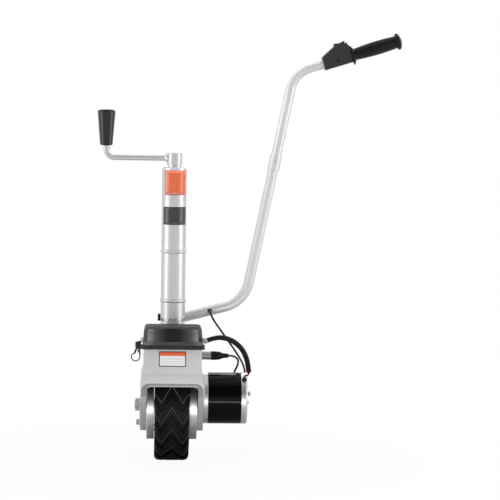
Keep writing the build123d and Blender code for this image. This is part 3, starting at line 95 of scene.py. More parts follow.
# %% [markdown]
# Shader maths reads best as a formula. The class below wraps one socket of a material and overloads the signs,
# so that `1 - mask * 0.5` adds the Math nodes that it needs.
# %% Sockets that can be used in formulas
class Value:
    """One output socket of a material. Sums, products and comparisons on it add Math nodes."""

    def __init__(self, finish, socket):
        self.finish = finish
        self.socket = socket

    def math(self, operation, *others):
        return self.finish.node("ShaderNodeMath", (self, *others), operation=operation)

    def __add__(self, other):
        return self.math("ADD", other)

    __radd__ = __add__

    def __mul__(self, other):
        return self.math("MULTIPLY", other)

    __rmul__ = __mul__

    def __sub__(self, other):
        return self.math("SUBTRACT", other)

    def __rsub__(self, other):
        return self.finish.node("ShaderNodeMath", (other, self), operation="SUBTRACT")

    def __truediv__(self, other):
        return self.math("DIVIDE", other)

    def __gt__(self, other):
        return self.math("GREATER_THAN", other)

    def __lt__(self, other):
        return self.math("LESS_THAN", other)

    def __abs__(self):
        return self.math("ABSOLUTE")

    def root(self):
        return self.math("SQRT")

    def at_least(self, other):
        """The larger of the two."""
        return self.math("MAXIMUM", other)

    def at_most(self, other):
        """The smaller of the two."""
        return self.math("MINIMUM", other)

    def wave(self):
        """Distance from the middle between two whole numbers, from 0 to 0.5."""
        return abs(self.math("FRACT") - 0.5)


# %% [markdown]
# A second class holds one material while it is made. It starts with a single Principled shader, whose gloss is a
# constant, and its methods add the few kinds of node that the finishes need.
# %% One material under construction
class Finish:
    """A material with one Principled shader; set() gives a socket a number, a colour or a formula."""

    coat_roughness = 0.08

    def __init__(self, name, colour, roughness, metallic=0.0, coat=0.0, gloss=0.5):
        self.material = bpy.data.materials.new(name)
        self.material.use_nodes = True
        self.tree = self.material.node_tree
        self.tree.nodes.clear()
        output = self.tree.nodes.new("ShaderNodeOutputMaterial")
        self.shader = self.tree.nodes.new("ShaderNodeBsdfPrincipled")
        self.tree.links.new(self.shader.outputs[0], output.inputs["Surface"])
        self.set("Base Color", (*colour, 1.0))
        self.set("Roughness", roughness)
        self.set("Metallic", metallic)
        self.set("Coat Weight", coat)
        self.set("Coat Roughness", self.coat_roughness)
        self.set("Specular IOR Level", gloss)
        self.material.diffuse_color = (*colour, 1.0)

    def set(self, name, value):
        if isinstance(value, Value):
            self.tree.links.new(value.socket, self.shader.inputs[name])
        else:
            self.shader.inputs[name].default_value = value
        return self

    def node(self, kind, values=(), output=0, **settings):
        """Any node: its settings first, then the values or links of its sockets, by place or by name."""
        made = self.tree.nodes.new(kind)
        for name, value in settings.items():
            setattr(made, name, value)
        pairs = values.items() if isinstance(values, dict) else enumerate(values)
        for key, value in pairs:
            if isinstance(value, Value):
                self.tree.links.new(value.socket, made.inputs[key])
            elif value is not None:
                made.inputs[key].default_value = value
        return Value(self, made.outputs[output])

    def coordinates(self):
        """Object coordinates, in metres."""
        return self.node("ShaderNodeTexCoord", output=3)

    def split(self, vector):
        """The three parts of a vector, each as a Value."""
        parts = self.tree.nodes.new("ShaderNodeSeparateXYZ")
        self.tree.links.new(vector.socket, parts.inputs[0])
        return [Value(self, socket) for socket in parts.outputs]

    def axes(self):
        return self.split(self.coordinates())

    def noise(self, scale, detail=2.0, stretch=(1, 1, 1)):
        """Soft noise from 0 to 1 on object coordinates; stretch multiplies them first."""
        where = self.node("ShaderNodeMapping", {"Vector": self.coordinates(), "Scale": stretch})
        return self.node("ShaderNodeTexNoise", {"Vector": where, "Scale": scale, "Detail": detail})

    def mix(self, share, first, second):
        """Colour between two colours: share 0 gives the first."""
        made = self.tree.nodes.new("ShaderNodeMix")
        made.data_type = "RGBA"
        for key, value in ((0, share), (6, first), (7, second)):
            if isinstance(value, Value):
                self.tree.links.new(value.socket, made.inputs[key])
            else:
                made.inputs[key].default_value = value if key == 0 else (*value, 1.0)
        return Value(self, made.outputs[2])

    def bump(self, height, strength, depth=0.0005):
        """Relief in the light only: depth is the height in metres that a value of 1 stands for."""
        made = self.node("ShaderNodeBump", {"Strength": strength, "Distance": depth, "Height": height})
        return self.set("Normal", made)


def shade(colour, factor):
    """A colour made lighter or darker."""
    return tuple(min(1.0, channel * factor) for channel in colour)


# %% [markdown]
# The object has three families of finish: bright or painted metal, black plastic and rubber. Each family is one
# function, so that two pieces of the same stuff agree. Every finish varies a little over its surface, because
# an even number over a whole part is what makes a render look like a drawing. Metal comes first: paint with metal
# flakes has a fine grain, and turned or plated metal has marks drawn out along one direction.
# %% Metal finishes
def silver_paint(name, colour, roughness, metallic, painted_shade=None):
    """Metal flake paint: a fine grain in colour and gloss, and a faint orange peel; painted shade where a mask says.
    """
    made = Finish(name, colour, roughness, metallic)
    cloud = made.noise(14, 3)
    paint = made.mix(cloud, shade(colour, 0.94), shade(colour, 1.05))
    # Painted shade: where the mask is 1, the paint is mixed towards a much darker grey.
    if painted_shade:
        paint = made.mix(painted_shade(made), paint, shade(colour, 0.35))
    made.set("Base Color", paint)
    made.set("Roughness", roughness - 0.04 + 0.09 * cloud)
    return made.bump(made.noise(1400, 1), 0.06, 0.0001).material


def bright_metal(name, colour, roughness, metallic=1.0, stretch=(1, 1, 1)):
    """Plated or turned metal, with fine marks drawn out along the axis whose stretch is small."""
    made = Finish(name, colour, roughness, metallic)
    marks = made.noise(900, 2, stretch)
    cloud = made.noise(22, 2)
    made.set("Base Color", made.mix(cloud, shade(colour, 0.92), shade(colour, 1.06)))
    made.set("Roughness", roughness - 0.05 + 0.1 * marks + 0.05 * cloud)
    return made.bump(marks, 0.12, 0.00006).material


# %% [markdown]
# Black parts tell their stuff by their shine alone. Moulded plastic has a pebble grain and an even gloss, and
# rubber is duller, with a bloom that is greyer in patches. Blacks are kept very dark here, because the white
# room's reflections lift them.
# %% Black plastics and rubbers
def black_plastic(name, colour, roughness, coat=0.0, grain=0.05, gloss=0.3):
    """Moulded plastic: a faint pebble grain and slightly uneven gloss."""
    made = Finish(name, colour, roughness, 0.0, coat, gloss)
    cloud = made.noise(30, 3)
    made.set("Roughness", roughness - 0.04 + 0.08 * cloud)
    return made.bump(made.noise(900, 2), grain, 0.0002).material


def black_rubber(name, colour, roughness, grain=0.12):
    """Rubber: matt, with a bloom that is greyer in patches."""
    made = Finish(name, colour, roughness, gloss=0.2)
    cloud = made.noise(18, 4)
    made.set("Base Color", made.mix(cloud, shade(colour, 0.8), shade(colour, 1.35)))
    made.set("Roughness", roughness - 0.06 + 0.12 * cloud)
    return made.bump(made.noise(700, 3), grain, 0.0003).material


# %% [markdown]
# The lid's big faces are not flat: a moulded cover swells by a few millimetres, and its gloss shows that as a
# soft gradient from side to side. A bump whose height falls with the square of x turns the highlights the same
# way without touching the solid. The lid's top is left matt, as the photograph shows no mirror image on it.
# %% Swelling lid
lid_top = 0.3405 + floor_level


def lid_plastic(name, colour, swell):
    """Glossy plastic whose height is -swell * x^2 metres, plus a fine grain."""
    made = Finish(name, colour, 0.2, gloss=0.75)
    x, _, z = made.axes()
    made.set("Roughness", 0.2 + 0.08 * made.noise(30, 3) + 0.5 * (z > lid_top))
    return made.bump(0.00001 * made.noise(900, 2) - swell * x * x, 1.0, 1.0).material


# %% [markdown]
# Round the mouth of the wheel arch the housing's sheet is turned forwards to a narrow lip with round upper
# corners. The lip faces the camera squarely, and its darker look than the cheeks is painted shade, about half as
# dark along its lower edge. The painted shade is one mask in the housing's paint, made of distances.
# %% Lip of the wheel arch, with painted shade
def arch_lip_shade(made):
    """Painted shade: 1 where a point of the front face is inside a frame with round corners, less along the mouth's
    lower edge.
    """
    corner, half_width, top = 0.018, 0.0748, 0.2085 + floor_level
    front_face, mouth_half_width, lighter_edge_level = -0.1512, 0.058, 0.2038 + floor_level
    x, y, z = made.axes()
    beside = (abs(x) - (half_width - corner)).at_least(0.0)
    above = (z - (top - corner)).at_least(0.0)
    inside = (beside * beside + above * above).root() < corner
    # The painted shade is about half as dark along the mouth's lower edge.
    painted_light_edge = (abs(x) < mouth_half_width) * (z < lighter_edge_level)
    return inside * (y < front_face) * (1 - 0.55 * painted_light_edge) * 0.95


# %% [markdown]
# Each material slot of the record gets one finish. The colours are the paint's own, as they look under a plain
# white light, except the shade painted on the housing's arch lip. The gloss is what the highlights in the
# photograph show: a soft sheen on the tube, a mirror on the motor and almost nothing on the rubber. A table of
# recipes keeps the numbers in one place.
# %% One finish for each slot
turned_about_x = (1, 0.05, 0.05)
recipes = {
    "tube_zinc": (silver_paint, (0.60, 0.605, 0.61), dict(roughness=0.36, metallic=0.6)),
    "zinc_plated": (bright_metal, (0.60, 0.605, 0.61), dict(roughness=0.38, metallic=0.6)),
    "bright_steel": (bright_metal, (0.66, 0.66, 0.67), dict(roughness=0.3, metallic=0.8)),
    # The housing's paint carries the painted shade of the arch lip.
    "housing_grey": (silver_paint, (0.58, 0.585, 0.59), dict(roughness=0.45, metallic=0.2, painted_shade=arch_lip_shade)),
    "bushing": (black_plastic, (0.78, 0.77, 0.72), dict(roughness=0.4)),
    "bronze": (bright_metal, (0.62, 0.45, 0.24), dict(roughness=0.35)),
    "lid_black": (lid_plastic, (0.01, 0.01, 0.0105), dict(swell=5.5)),
    "box_black": (black_plastic, (0.012, 0.012, 0.0125), dict(roughness=0.36)),
    "soft_black": (black_rubber, (0.008, 0.008, 0.0085), dict(roughness=0.5, grain=0.08)),
    "board_green": (black_plastic, (0.02, 0.16, 0.07), dict(roughness=0.35)),
    "handle_silver": (silver_paint, (0.74, 0.745, 0.75), dict(roughness=0.38, metallic=0.4)),
    "crank_black": (black_plastic, (0.008, 0.008, 0.0085), dict(roughness=0.28, coat=0.2, grain=0.02)),
    "switch_black": (black_plastic, (0.03, 0.03, 0.031), dict(roughness=0.42, grain=0.1)),
    "rocker_black": (black_plastic, (0.012, 0.012, 0.0125), dict(roughness=0.22, coat=0.3, grain=0.02)),
    "rim_dark": (silver_paint, (0.03, 0.03, 0.031), dict(roughness=0.5, metallic=0.3)),
    "drum_silver": (bright_metal, (0.74, 0.745, 0.75), dict(roughness=0.3, stretch=turned_about_x)),
    "gear_steel": (bright_metal, (0.5, 0.505, 0.52), dict(roughness=0.3)),
    "case_silver": (
        bright_metal, (0.70, 0.705, 0.71), dict(roughness=0.33, metallic=0.85, stretch=turned_about_x)),
    "motor_black": (black_plastic, (0.002, 0.002, 0.0021), dict(roughness=0.12, grain=0.0, gloss=0.12)),
    "magnet_grey": (black_plastic, (0.1, 0.1, 0.105), dict(roughness=0.6)),
    "conduit_black": (black_plastic, (0.006, 0.006, 0.0065), dict(roughness=0.34)),
    "cable_black": (black_plastic, (0.006, 0.006, 0.0065), dict(roughness=0.4)),
    "strap_grey": (black_rubber, (0.012, 0.012, 0.0125), dict(roughness=0.6)),
}
finishes = {name: make(name, colour, **settings) for name, (make, colour, settings) in recipes.items()}
print("finishes:", len(finishes))

# %% [markdown]
# The plate on the housing is printed sheet: a dark border, a coloured head and a pale field with thin rules. The
# masks are distances from the plate's edges, worked out from its own box, so the border is equally wide all round.
# %% Label plate
border_colour = (0.012, 0.012, 0.013)
field_colour = (0.93, 0.93, 0.92)
rule_colour = (0.35, 0.35, 0.36)
orange = (0.9, 0.1, 0.012)


def label_finish(name, low, high, border, head, rules):
    """A face in x and z with a border, a coloured head and thin rules on a pale field, sizes in metres."""
    made = Finish(name, field_colour, 0.32, 0.0, 0.25)
    x, _, z = made.axes()
    middle_x, half_x = (low[0] + high[0]) / 2, (high[0] - low[0]) / 2
    middle_z, half_z = (low[2] + high[2]) / 2, (high[2] - low[2]) / 2
    inside = (abs(x - middle_x) < half_x - border) * (abs(z - middle_z) < half_z - border)
    top = z > high[2] - border - head
    line = ((z - low[2]) / rules).wave() < 0.1
    inset = abs(x - middle_x) < half_x - 2.4 * border
    under = z < high[2] - border - 1.5 * head
    above = z > low[2] + 2.4 * border
    colour = made.mix(line * inset * under * above * 0.55, field_colour, rule_colour)
    colour = made.mix(top, colour, orange)
    made.set("Base Color", made.mix(inside, border_colour, colour))
    return made.material


plate_low, plate_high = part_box("label_plate")
finishes["label_silver"] = label_finish(
    "label_silver", plate_low, plate_high, border=0.0022, head=0.0085, rules=0.0052)
print("label", [round(1000 * (high - low), 1) for low, high in zip(plate_low, plate_high)], "mm")

# %% [markdown]
# The solids have no finish of their own yet. Each record line names a node and its slot, so one loop paints them
# all. The slots of the tyre, the grip and the leads are left to the new pieces that are made below.
# %% Paint the frame
made_here = {"tyre_black", "grip_black", "lead_wire"}
painted = 0
for entry in frame["record"]["subparts"]:
    finish = finishes.get(entry["material_slot"])
    if finish is None:
        assert entry["material_slot"] in made_here, entry
        continue
    mesh = nodes[entry["node"]].data
    mesh.materials.clear()
    mesh.materials.append(finish)
    painted += 1
print("painted nodes:", painted)

# %% [markdown]
# Four nodes need something of their own. The switch's indicator is a darker metal plate, its screws are blackened
# while the lid's are bright, the socket's barrel has shade painted into the roots of a screw thread, and only the
# conduit's gland has a light collar. Each is a mask on object coordinates.
# %% Finishes of single nodes
screw_steel, blackened = (0.66, 0.66, 0.67), (0.02, 0.02, 0.021)
moulded_black, light_collar = (0.01, 0.01, 0.0105), (0.5, 0.5, 0.5)
switch_starts = 0.35
threads_per_metre = 420


def two_tones(name, first, second, mask, roughness, **settings):
    """Two colours, told apart by a mask that is worked out from x, y and z."""
    made = Finish(name, first, roughness, **settings)
    made.set("Base Color", made.mix(mask(*made.axes()), first, second))
    return made.material


def socket_thread():
    """Painted shade in the roots and light crests along x, with the same wave as relief."""
    made = Finish("socket_thread", (0.6, 0.6, 0.61), 0.35, 0.7)
    thread = (made.axes()[0] * threads_per_metre).wave() * 2
    # Painted shade: the colour follows the thread's wave and is dark grey in the roots.
    made.set("Base Color", made.mix(thread, (0.12, 0.12, 0.122), (0.62, 0.62, 0.63)))
    return made.bump(thread, 0.6, 0.0006).material


own_finishes = {
    "indicator_plate": bright_metal("indicator_metal", (0.5, 0.5, 0.51), 0.4, metallic=0.6),
    "cover_screws": two_tones(
        "screws", screw_steel, blackened, lambda x, y, z: x > switch_starts, 0.3, metallic=0.8),
    "socket_connector": socket_thread(),
    "cable_glands": two_tones(
        "gland_and_grommets", moulded_black, light_collar,
        lambda x, y, z: (z > 0.29 + floor_level) * (y < -0.05), 0.4, gloss=0.3),
}
for name, finish in own_finishes.items():
    nodes[name].data.materials[0] = finish
print("own finishes:", len(own_finishes))


# %% [markdown]
# New pieces are surfaces. A shape is worked out as a grid of points, one row for each step of the first
# parameter, and this helper joins the grid into quads. Either direction can close on itself, so a tyre or a hose
# has no seam and no open end.
# %% From a grid of points to a mesh
def grid_piece(name, points, finish, wrap_rows=False, wrap_columns=False):
    """Quads between neighbours of a (rows, columns, 3) array of points, wrapped where asked."""
    rows, columns = points.shape[:2]
    index = np.arange(rows * columns).reshape(rows, columns)
    if wrap_rows:
        index = np.vstack([index, index[:1]])
    if wrap_columns:
        index = np.hstack([index, index[:, :1]])
    quads = np.stack([index[:-1, :-1], index[:-1, 1:], index[1:, 1:], index[1:, :-1]], axis=-1).reshape(-1, 4)
    mesh = bpy.data.meshes.new(name)
    mesh.from_pydata(points.reshape(-1, 3).tolist(), [], quads.tolist())
    mesh.polygons.foreach_set("use_smooth", np.ones(len(quads), bool))
    mesh.materials.append(finish)
    mesh.update()
    piece = bpy.data.objects.new(name, mesh)
    bpy.context.collection.objects.link(piece)
    print(name, "quads", len(quads))
    return piece


def dress(piece, body, slot, *replaced):
    """Puts a piece on the body that it rides on and hides the solids that it stands for; slot is not used."""
    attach(piece, body)
    if replaced:
        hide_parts(*replaced)
    return piece


# %% [markdown]
# A cord is one smooth curve through the air. Its points are the same as the solid's, and a NURBS spline rounds
# them off as a real cable does. It is made as a curve with a round bevel and capped ends.
# %% A NURBS curve for cords
def cord_curve(name, points, diameter, finish=None):
    """A round cord about the NURBS spline of its points, which are in millimetres above the floor."""
    data = bpy.data.curves.new(name, "CURVE")
    data.dimensions = "3D"
    data.resolution_u = 12
    data.bevel_depth = diameter / 2
    data.bevel_resolution = 5
    data.use_fill_caps = diameter > 0
    spline = data.splines.new("NURBS")
    spline.points.add(len(points) - 1)
    for point, position in zip(spline.points, points):
        point.co = (*place(*position), 1.0)
    spline.order_u = 3
    spline.use_endpoint_u = True
    if finish:
        data.materials.append(finish)
    piece = bpy.data.objects.new(name, data)
    bpy.context.collection.objects.link(piece)
    return piece


# %% [markdown]
# The control cable runs from the switch down inside the handle. It leaves the tube at a grommet, hangs behind the
# motor, turns up in a small loop and ends in its plug. It is soft, so the loop is small and the run is slack.
# %% Control cable
cable_points = [
    (92.0, 33.0, 367.3), (92.1, 21.0, 367.0), (94.5, 10.8, 361.2), (99.8, 5.8, 350.3), (108.0, 7.5, 337.5),
    (118.0, 14.5, 323.5), (129.0, 25.0, 308.0), (141.0, 38.5, 290.5), (153.0, 54.5, 272.5), (164.0, 71.0, 256.0),
    (173.0, 88.5, 240.5), (180.5, 106.5, 225.0), (185.5, 122.5, 208.5), (188.2, 133.5, 190.5),
    (188.2, 139.0, 172.5), (181.0, 136.8, 160.3), (169.5, 131.8, 156.3), (158.3, 126.8, 161.0),
    (151.8, 122.5, 172.5), (152.2, 117.0, 186.0), (156.0, 108.5, 201.0), (161.5, 100.0, 213.5),
    (166.2, 92.0, 226.0), (167.7, 84.0, 237.4), (162.6, 78.3, 246.0), (152.8, 75.0, 251.0), (142.0, 75.0, 251.0),
]
cable = cord_curve("control_cord", cable_points, 0.005, finishes["cable_black"])
dress(cable, "unit", "cable_black", "control_cable")
place(*cable_points[0])
print("control cable points", len(cable_points))

# %% [markdown]
# The two motor leads come out of the hose's open end, cross once and dive into the motor's grommet. They are
# thin and soft. The red one passes in front of the black one, so each bows away from the other at the crossing.
# Both follow one middle line, spread to either side of it and bowed to the front or the back.
# %% Motor leads
lead_middle = [
    (188.4, -21.3, 230.0), (189.6, -18.0, 220.2), (188.5, -12.2, 212.9), (184.3, -3.0, 211.2), (180.6, 7.3, 209.6),
    (180.6, 12.3, 203.4),
]
lead_spread = [1.7, 1.9, 0.4, -1.4, -1.8, -1.7]
lead_bow = [0.0, 0.0, 1.7, 1.2, 0.0, 0.0]
lead_diameter = 0.0028
leads = {"red_lead": (-1, (0.42, 0.008, 0.012)), "black_lead": (1, (0.012, 0.012, 0.013))}
for name, (side, colour) in leads.items():
    route = [
        (x + side * spread, y + side * bow, z + side * bow * 0.5)
        for (x, y, z), spread, bow in zip(lead_middle, lead_spread, lead_bow)
    ]
    lead = cord_curve(name, route, lead_diameter, black_plastic(name, colour, 0.3))
    dress(lead, "unit", "lead_wire", "motor_leads")
    place(*route[0])
print("motor leads:", len(leads))


# %% [markdown]
# The hose is a corrugated plastic conduit. Its ribs are real shape, because their outline shows against the
# white background. The hose's line is read back from the NURBS spline, and rings of changing radius are set
# along it. The helpers below give the line, two directions across it and the rings.
# %% A tube of rings along a spline
def spline_line(points, count):
    """Points evenly spaced along the NURBS spline of a route, as a (count, 3) array, and its length in metres."""
    guide = cord_curve("guide", points, 0.0)
    mesh = bpy.data.meshes.new_from_object(guide)
    line = np.array([vertex.co for vertex in mesh.vertices])
    bpy.data.objects.remove(guide)
    bpy.data.meshes.remove(mesh)
    along = np.concatenate([[0], np.cumsum(np.linalg.norm(np.diff(line, axis=0), axis=1))])
    even = np.linspace(0, along[-1], count)
    return np.stack([np.interp(even, along, line[:, axis]) for axis in range(3)], axis=1), float(along[-1])


def frames_along(line):
    """Two unit vectors across each point: the tangent crossed with a steady y, and that crossed with it."""
    tangent = np.gradient(line, axis=0)
    tangent /= np.linalg.norm(tangent, axis=1, keepdims=True)
    side = np.cross(tangent, np.array([0.0, 1.0, 0.0]))
    side /= np.linalg.norm(side, axis=1, keepdims=True)
    return side, np.cross(side, tangent)


def ringed_tube(line, radii, around):
    """Rings of the given radii about a line: centre + radius * (cos * side + sin * up)."""
    side, up = frames_along(line)
    turn = np.linspace(0, 2 * pi, around, endpoint=False)
    ring = np.cos(turn)[None, :, None] * side[:, None, :] + np.sin(turn)[None, :, None] * up[:, None, :]
    return line[:, None, :] + radii[:, None, None] * ring


# %% [markdown]
# Each rib is one wave of the radius, cut flat at its top and its bottom, as a corrugated hose is moulded. The wall
# turns back inside at both ends, so that the open end shows a hole with the leads in it. The bore is smooth and
# needs only one ring in sixteen.
# %% Ribbed hose
hose_points = [
    (84.8, -70.0, 305.2), (105.9, -70.0, 312.9), (129.4, -65.0, 311.0), (150.4, -56.2, 301.2),
    (167.3, -46.0, 286.0), (179.0, -36.0, 267.2), (186.2, -26.8, 245.8), (189.3, -18.6, 222.0),
]
hose_ribs, rib_steps, hose_sides = 64, 8, 32
hose_ridge, hose_valley, hose_bore = 0.0065, 0.0053, 0.0044

hose_line, hose_length = spline_line(hose_points, hose_ribs * rib_steps + 1)
phase = np.linspace(0, hose_ribs, len(hose_line)) * 2 * pi
rib_shape = np.clip(0.5 - 0.72 * np.cos(phase), 0, 1)
outer = ringed_tube(hose_line, hose_valley + (hose_ridge - hose_valley) * rib_shape, hose_sides)
inner = ringed_tube(hose_line, np.full(len(hose_line), hose_bore), hose_sides)[::-16]
hose = grid_piece("ribbed_hose", np.vstack([outer, inner]), finishes["conduit_black"], True, True)
dress(hose, "unit", "conduit_black", "conduit")
place(*hose_points[0])
print("hose length", round(hose_length * 1000, 1), "mm")

# %% [markdown]
# The tyre is a solid tread with sixteen W-shaped lugs. Its section is a closed outline with round shoulders and
# slightly hollow walls, which is turned about the axle.
# %% Tyre section
axle = place(0, 0, 137.0)
tyre_half, tyre_radius, tyre_seat = 0.0425, 0.137, 0.0800
shoulder, bead_edge, wall_hollow = 0.012, 0.001, 0.0006


def tyre_profile():
    """Closed (x, radius) outline: seat edge, left wall, shoulder, crown, the same back on the right, and the seat."""
    crown_x = np.linspace(-(tyre_half - shoulder), tyre_half - shoulder, 57)
    crown = np.stack([crown_x, np.full_like(crown_x, tyre_radius)], axis=1)
    bend = np.linspace(pi, pi / 2, 12)[:-1]
    corner = np.stack([
        -(tyre_half - shoulder) + shoulder * np.cos(bend), tyre_radius - shoulder + shoulder * np.sin(bend),
    ], axis=1)
    wall_radius = np.linspace(tyre_seat + bead_edge, tyre_radius - shoulder, 12)[:-1]
    hollow = wall_hollow * np.sin(np.linspace(0, pi, 12)[:-1])
    wall = np.stack([-tyre_half + hollow, wall_radius], axis=1)
    left = np.vstack([[[-tyre_half + bead_edge, tyre_seat]], wall, corner])
    right = left[::-1] * [-1, 1]
    seat_x = np.linspace(tyre_half - bead_edge, -tyre_half + bead_edge, 10)[1:-1]
    seat = np.stack([seat_x, np.full_like(seat_x, tyre_seat)], axis=1)
    return np.vstack([left, crown, right, seat])


print("tyre section points", len(tyre_profile()))

# %% [markdown]
# A groove that crosses a square grid has stepped edges. So the grid itself is sheared: its lines follow the W,
# and every groove lies between two of them. The radius is the section's, less the tread's depth where the sheared
# angle falls in a groove, and a thin cut is pressed into the middle of each lug's arms.
# %% Tread
lugs = 16
pitch_turn = 2 * pi / lugs
tread_depth, cut_depth = 0.006, 0.0016
trough_x, trough_turn, end_turn = 0.026, radians(18), radians(7)
half_groove, groove_wall = 0.215 * pitch_turn, 0.028 * pitch_turn
cut_turn, cut_width = 0.36 * pitch_turn, 0.014 * pitch_turn


def soft_step(value, low, high):
    """0 below low, 1 above high, and 3t^2 - 2t^3 between."""
    t = np.clip((value - low) / (high - low), 0, 1)
    return t * t * (3 - 2 * t)


def groove_turn(x):
    """Angle by which the W has moved at x: straight arms from the middle to the troughs and out to the ends."""
    return np.interp(np.abs(x), [0, trough_x, tyre_half], [0, -trough_turn, -end_turn])


def turn_steps():
    """Angles over one lug, from groove middle to groove middle, that crowd at the groove's walls."""
    half = np.concatenate([
        np.linspace(0, half_groove - groove_wall, 7)[:-1],
        np.linspace(half_groove - groove_wall, half_groove, 7)[:-1],
        np.linspace(half_groove, pitch_turn / 2, 13),
    ])
    return np.concatenate([-half[::-1][:-1], half[:-1]])


def tyre_points():
    """Turned section with radius - depth * groove, as (angles, section, 3), and a mark of painted highlight that is 1
    on lug edges.
    """
    profile = tyre_profile()
    one = turn_steps()
    turns = (np.arange(lugs)[:, None] * pitch_turn + one).ravel()
    local = np.tile(one, lugs)[:, None]
    x, radius = profile[:, 0][None, :], profile[:, 1][None, :]
    groove = 1 - soft_step(np.abs(local), half_groove - groove_wall, half_groove)
    on_tread = soft_step(radius, tyre_radius - 0.019, tyre_radius - 0.013)
    full_depth = soft_step(radius, tyre_radius - 0.019, tyre_radius - 0.001)
    full_depth = np.where(radius > tyre_radius - 0.0001, 1.0, full_depth)
    cut = np.exp(-((np.abs(local) - cut_turn) / cut_width) ** 2)
    cut = cut * soft_step(np.abs(x), 0.007, 0.009) * (1 - soft_step(np.abs(x), 0.021, 0.023))
    worn = radius - tread_depth * groove * on_tread * full_depth - cut_depth * cut * on_tread
    # Painted highlight: a thin band at one wall of each groove, along the lug's edge.
    edge = np.exp(-((local - half_groove) / (0.02 * pitch_turn)) ** 2) * on_tread
    angle = turns[:, None] + groove_turn(x)
    wide_x = np.broadcast_to(x, worn.shape)
    return np.stack([wide_x, worn * np.sin(angle), worn * np.cos(angle) + axle.z], axis=-1), edge


tread_points, lug_highlights = tyre_points()
print("tread grid", tread_points.shape[:2])

# %% [markdown]
# Tyre rubber is nearly black, a little dusty and matt. A thin grey highlight is painted along the edge of each lug
# that meets the road first. That edge is a formula of the tread, so it comes as an attribute of the mesh's points.
# %% Tyre
tread_rubber = Finish("tyre_black", (0.01, 0.01, 0.0105), 0.5, gloss=0.12)
tread_x, tread_y, tread_z = tread_rubber.axes()
hatch = ((tread_y + tread_z + tread_x * 1.4) * 420).wave()
dust = tread_rubber.noise(16, 4)
rubber_colour = tread_rubber.mix(dust, (0.002, 0.002, 0.0021), (0.008, 0.008, 0.0084))
# Painted highlight: the attribute mixes a grey line into the rubber's colour on the lugs' edges.
painted_light_edge = tread_rubber.node("ShaderNodeAttribute", output=2, attribute_name="painted_light_edge")
tread_rubber.set("Base Color", tread_rubber.mix(painted_light_edge, rubber_colour, (0.16, 0.16, 0.162)))
tread_rubber.set("Roughness", 0.36 + 0.2 * dust)
tread_rubber.bump(hatch + 0.4 * tread_rubber.noise(500, 3), 0.16, 0.0005)

tyre = grid_piece("tyre_with_tread", tread_points[:, ::-1], tread_rubber.material, True, True)
painted_light_edges = tyre.data.attributes.new("painted_light_edge", "FLOAT", "POINT")
painted_light_edges.data.foreach_set("value", lug_highlights[:, ::-1].ravel().astype(np.float32))
dress(tyre, "wheel", "tyre_black", "tyre")

# %% [markdown]
# The hand grip is moulded rubber over the tube's end: a guard disc, a swelling barrel with a lozenge pattern of
# low ribs and a flange at the outer end. It is a turned profile whose radius also depends on the angle. The ribs
# are two families of screw lines, and they fade out near both ends of the barrel.
# %% Hand grip
grip_pitch = radians(17.5)
grip_x, grip_y = 443.1, 50.0
grip_z = 962.0 + (grip_x - 294.0) * tan(grip_pitch)
grip_along = Vector((cos(grip_pitch), 0, sin(grip_pitch)))
grip_up = Vector((-sin(grip_pitch), 0, cos(grip_pitch)))
grip_origin = place(grip_x, grip_y, grip_z)

# Stations of the guard and the flange: distance along the grip and radius, in millimetres.
guard_stations = [
    (-6.8, 12.55), (-6.8, 23.3), (-6.3, 24.2), (-5.4, 24.5), (-4.4, 24.5), (-3.6, 23.9), (0.0, 18.4), (2.0, 15.3),
    (2.6, 14.7),
]
flange_stations = [
    (108.0, 15.5), (108.5, 17.6), (109.2, 19.5), (110.5, 20.5), (112.0, 20.8), (114.6, 20.8), (116.4, 20.2),
    (117.6, 18.8), (118.4, 16.2), (120.2, 13.4), (121.8, 9.0), (122.8, 4.0), (122.9, 0.3),
]
barrel_start, barrel_end, barrel_fade = 6.0, 106.0, 4.0
barrel_radius, barrel_taper, barrel_swell = 14.6, 0.9, 2.25
rib_height, rib_count, rib_twist = 0.6, 12, 0.62


def grip_points():
    """Turned profile; on the barrel radius + rib height * rib, where rib is high between two families of screws."""
    barrel = np.linspace(3.5, 107.5, 240)
    share = (barrel - 2.6) / 105.4
    swell = barrel_radius + barrel_taper * share + barrel_swell * np.sin(pi * share)
    along, radius = np.hstack([np.array(guard_stations).T, [barrel, swell], np.array(flange_stations).T])
    turn = np.linspace(0, 2 * pi, 160, endpoint=False)
    first = np.sin(rib_count * turn[None, :] + along[:, None] * rib_twist)
    second = np.sin(rib_count * turn[None, :] - along[:, None] * rib_twist)
    rib = np.clip(np.maximum(first, second) * 1.6 - 0.5, 0, 1) - 1
    starts = soft_step(along, barrel_start, barrel_start + barrel_fade)
    ends = soft_step(along, barrel_end - barrel_fade, barrel_end)
    full = (radius[:, None] + rib_height * rib * (starts * (1 - ends))[:, None]) / 1000
    axis = np.array(grip_origin)[None, None, :] + along[:, None, None] / 1000 * np.array(grip_along)
    return axis + full[..., None] * (
        np.sin(turn)[None, :, None] * np.array([0, 1, 0]) + np.cos(turn)[None, :, None] * np.array(grip_up))


def capped(points):
    """Closes the first and last ring of a turned shape on their centres, by one more ring of equal points."""
    first = np.repeat(points[:1].mean(axis=1, keepdims=True), points.shape[1], axis=1)
    last = np.repeat(points[-1:].mean(axis=1, keepdims=True), points.shape[1], axis=1)
    return np.vstack([first, points, last])


grip_rubber = black_rubber("grip_black", (0.006, 0.006, 0.0065), 0.3, 0.03)
grip = grid_piece("knurled_grip", capped(grip_points())[:, ::-1], grip_rubber, wrap_columns=True)
dress(grip, "unit", "grip_black", "hand_grip")

# %% [markdown]
# Two stickers sit on the jack tube: the upper one is orange with a thin pale frame, the lower one black with a
# thin grey frame. A sticker is a patch of a cylinder a tenth of a millimetre proud of the tube, with its own
# edge, so that it catches light as film does. The frame is printed, so it is a mask and no shape.
# %% Stickers on the tube
tube_radius = 0.030
film_thickness, film_edge = 0.00014, 0.00001


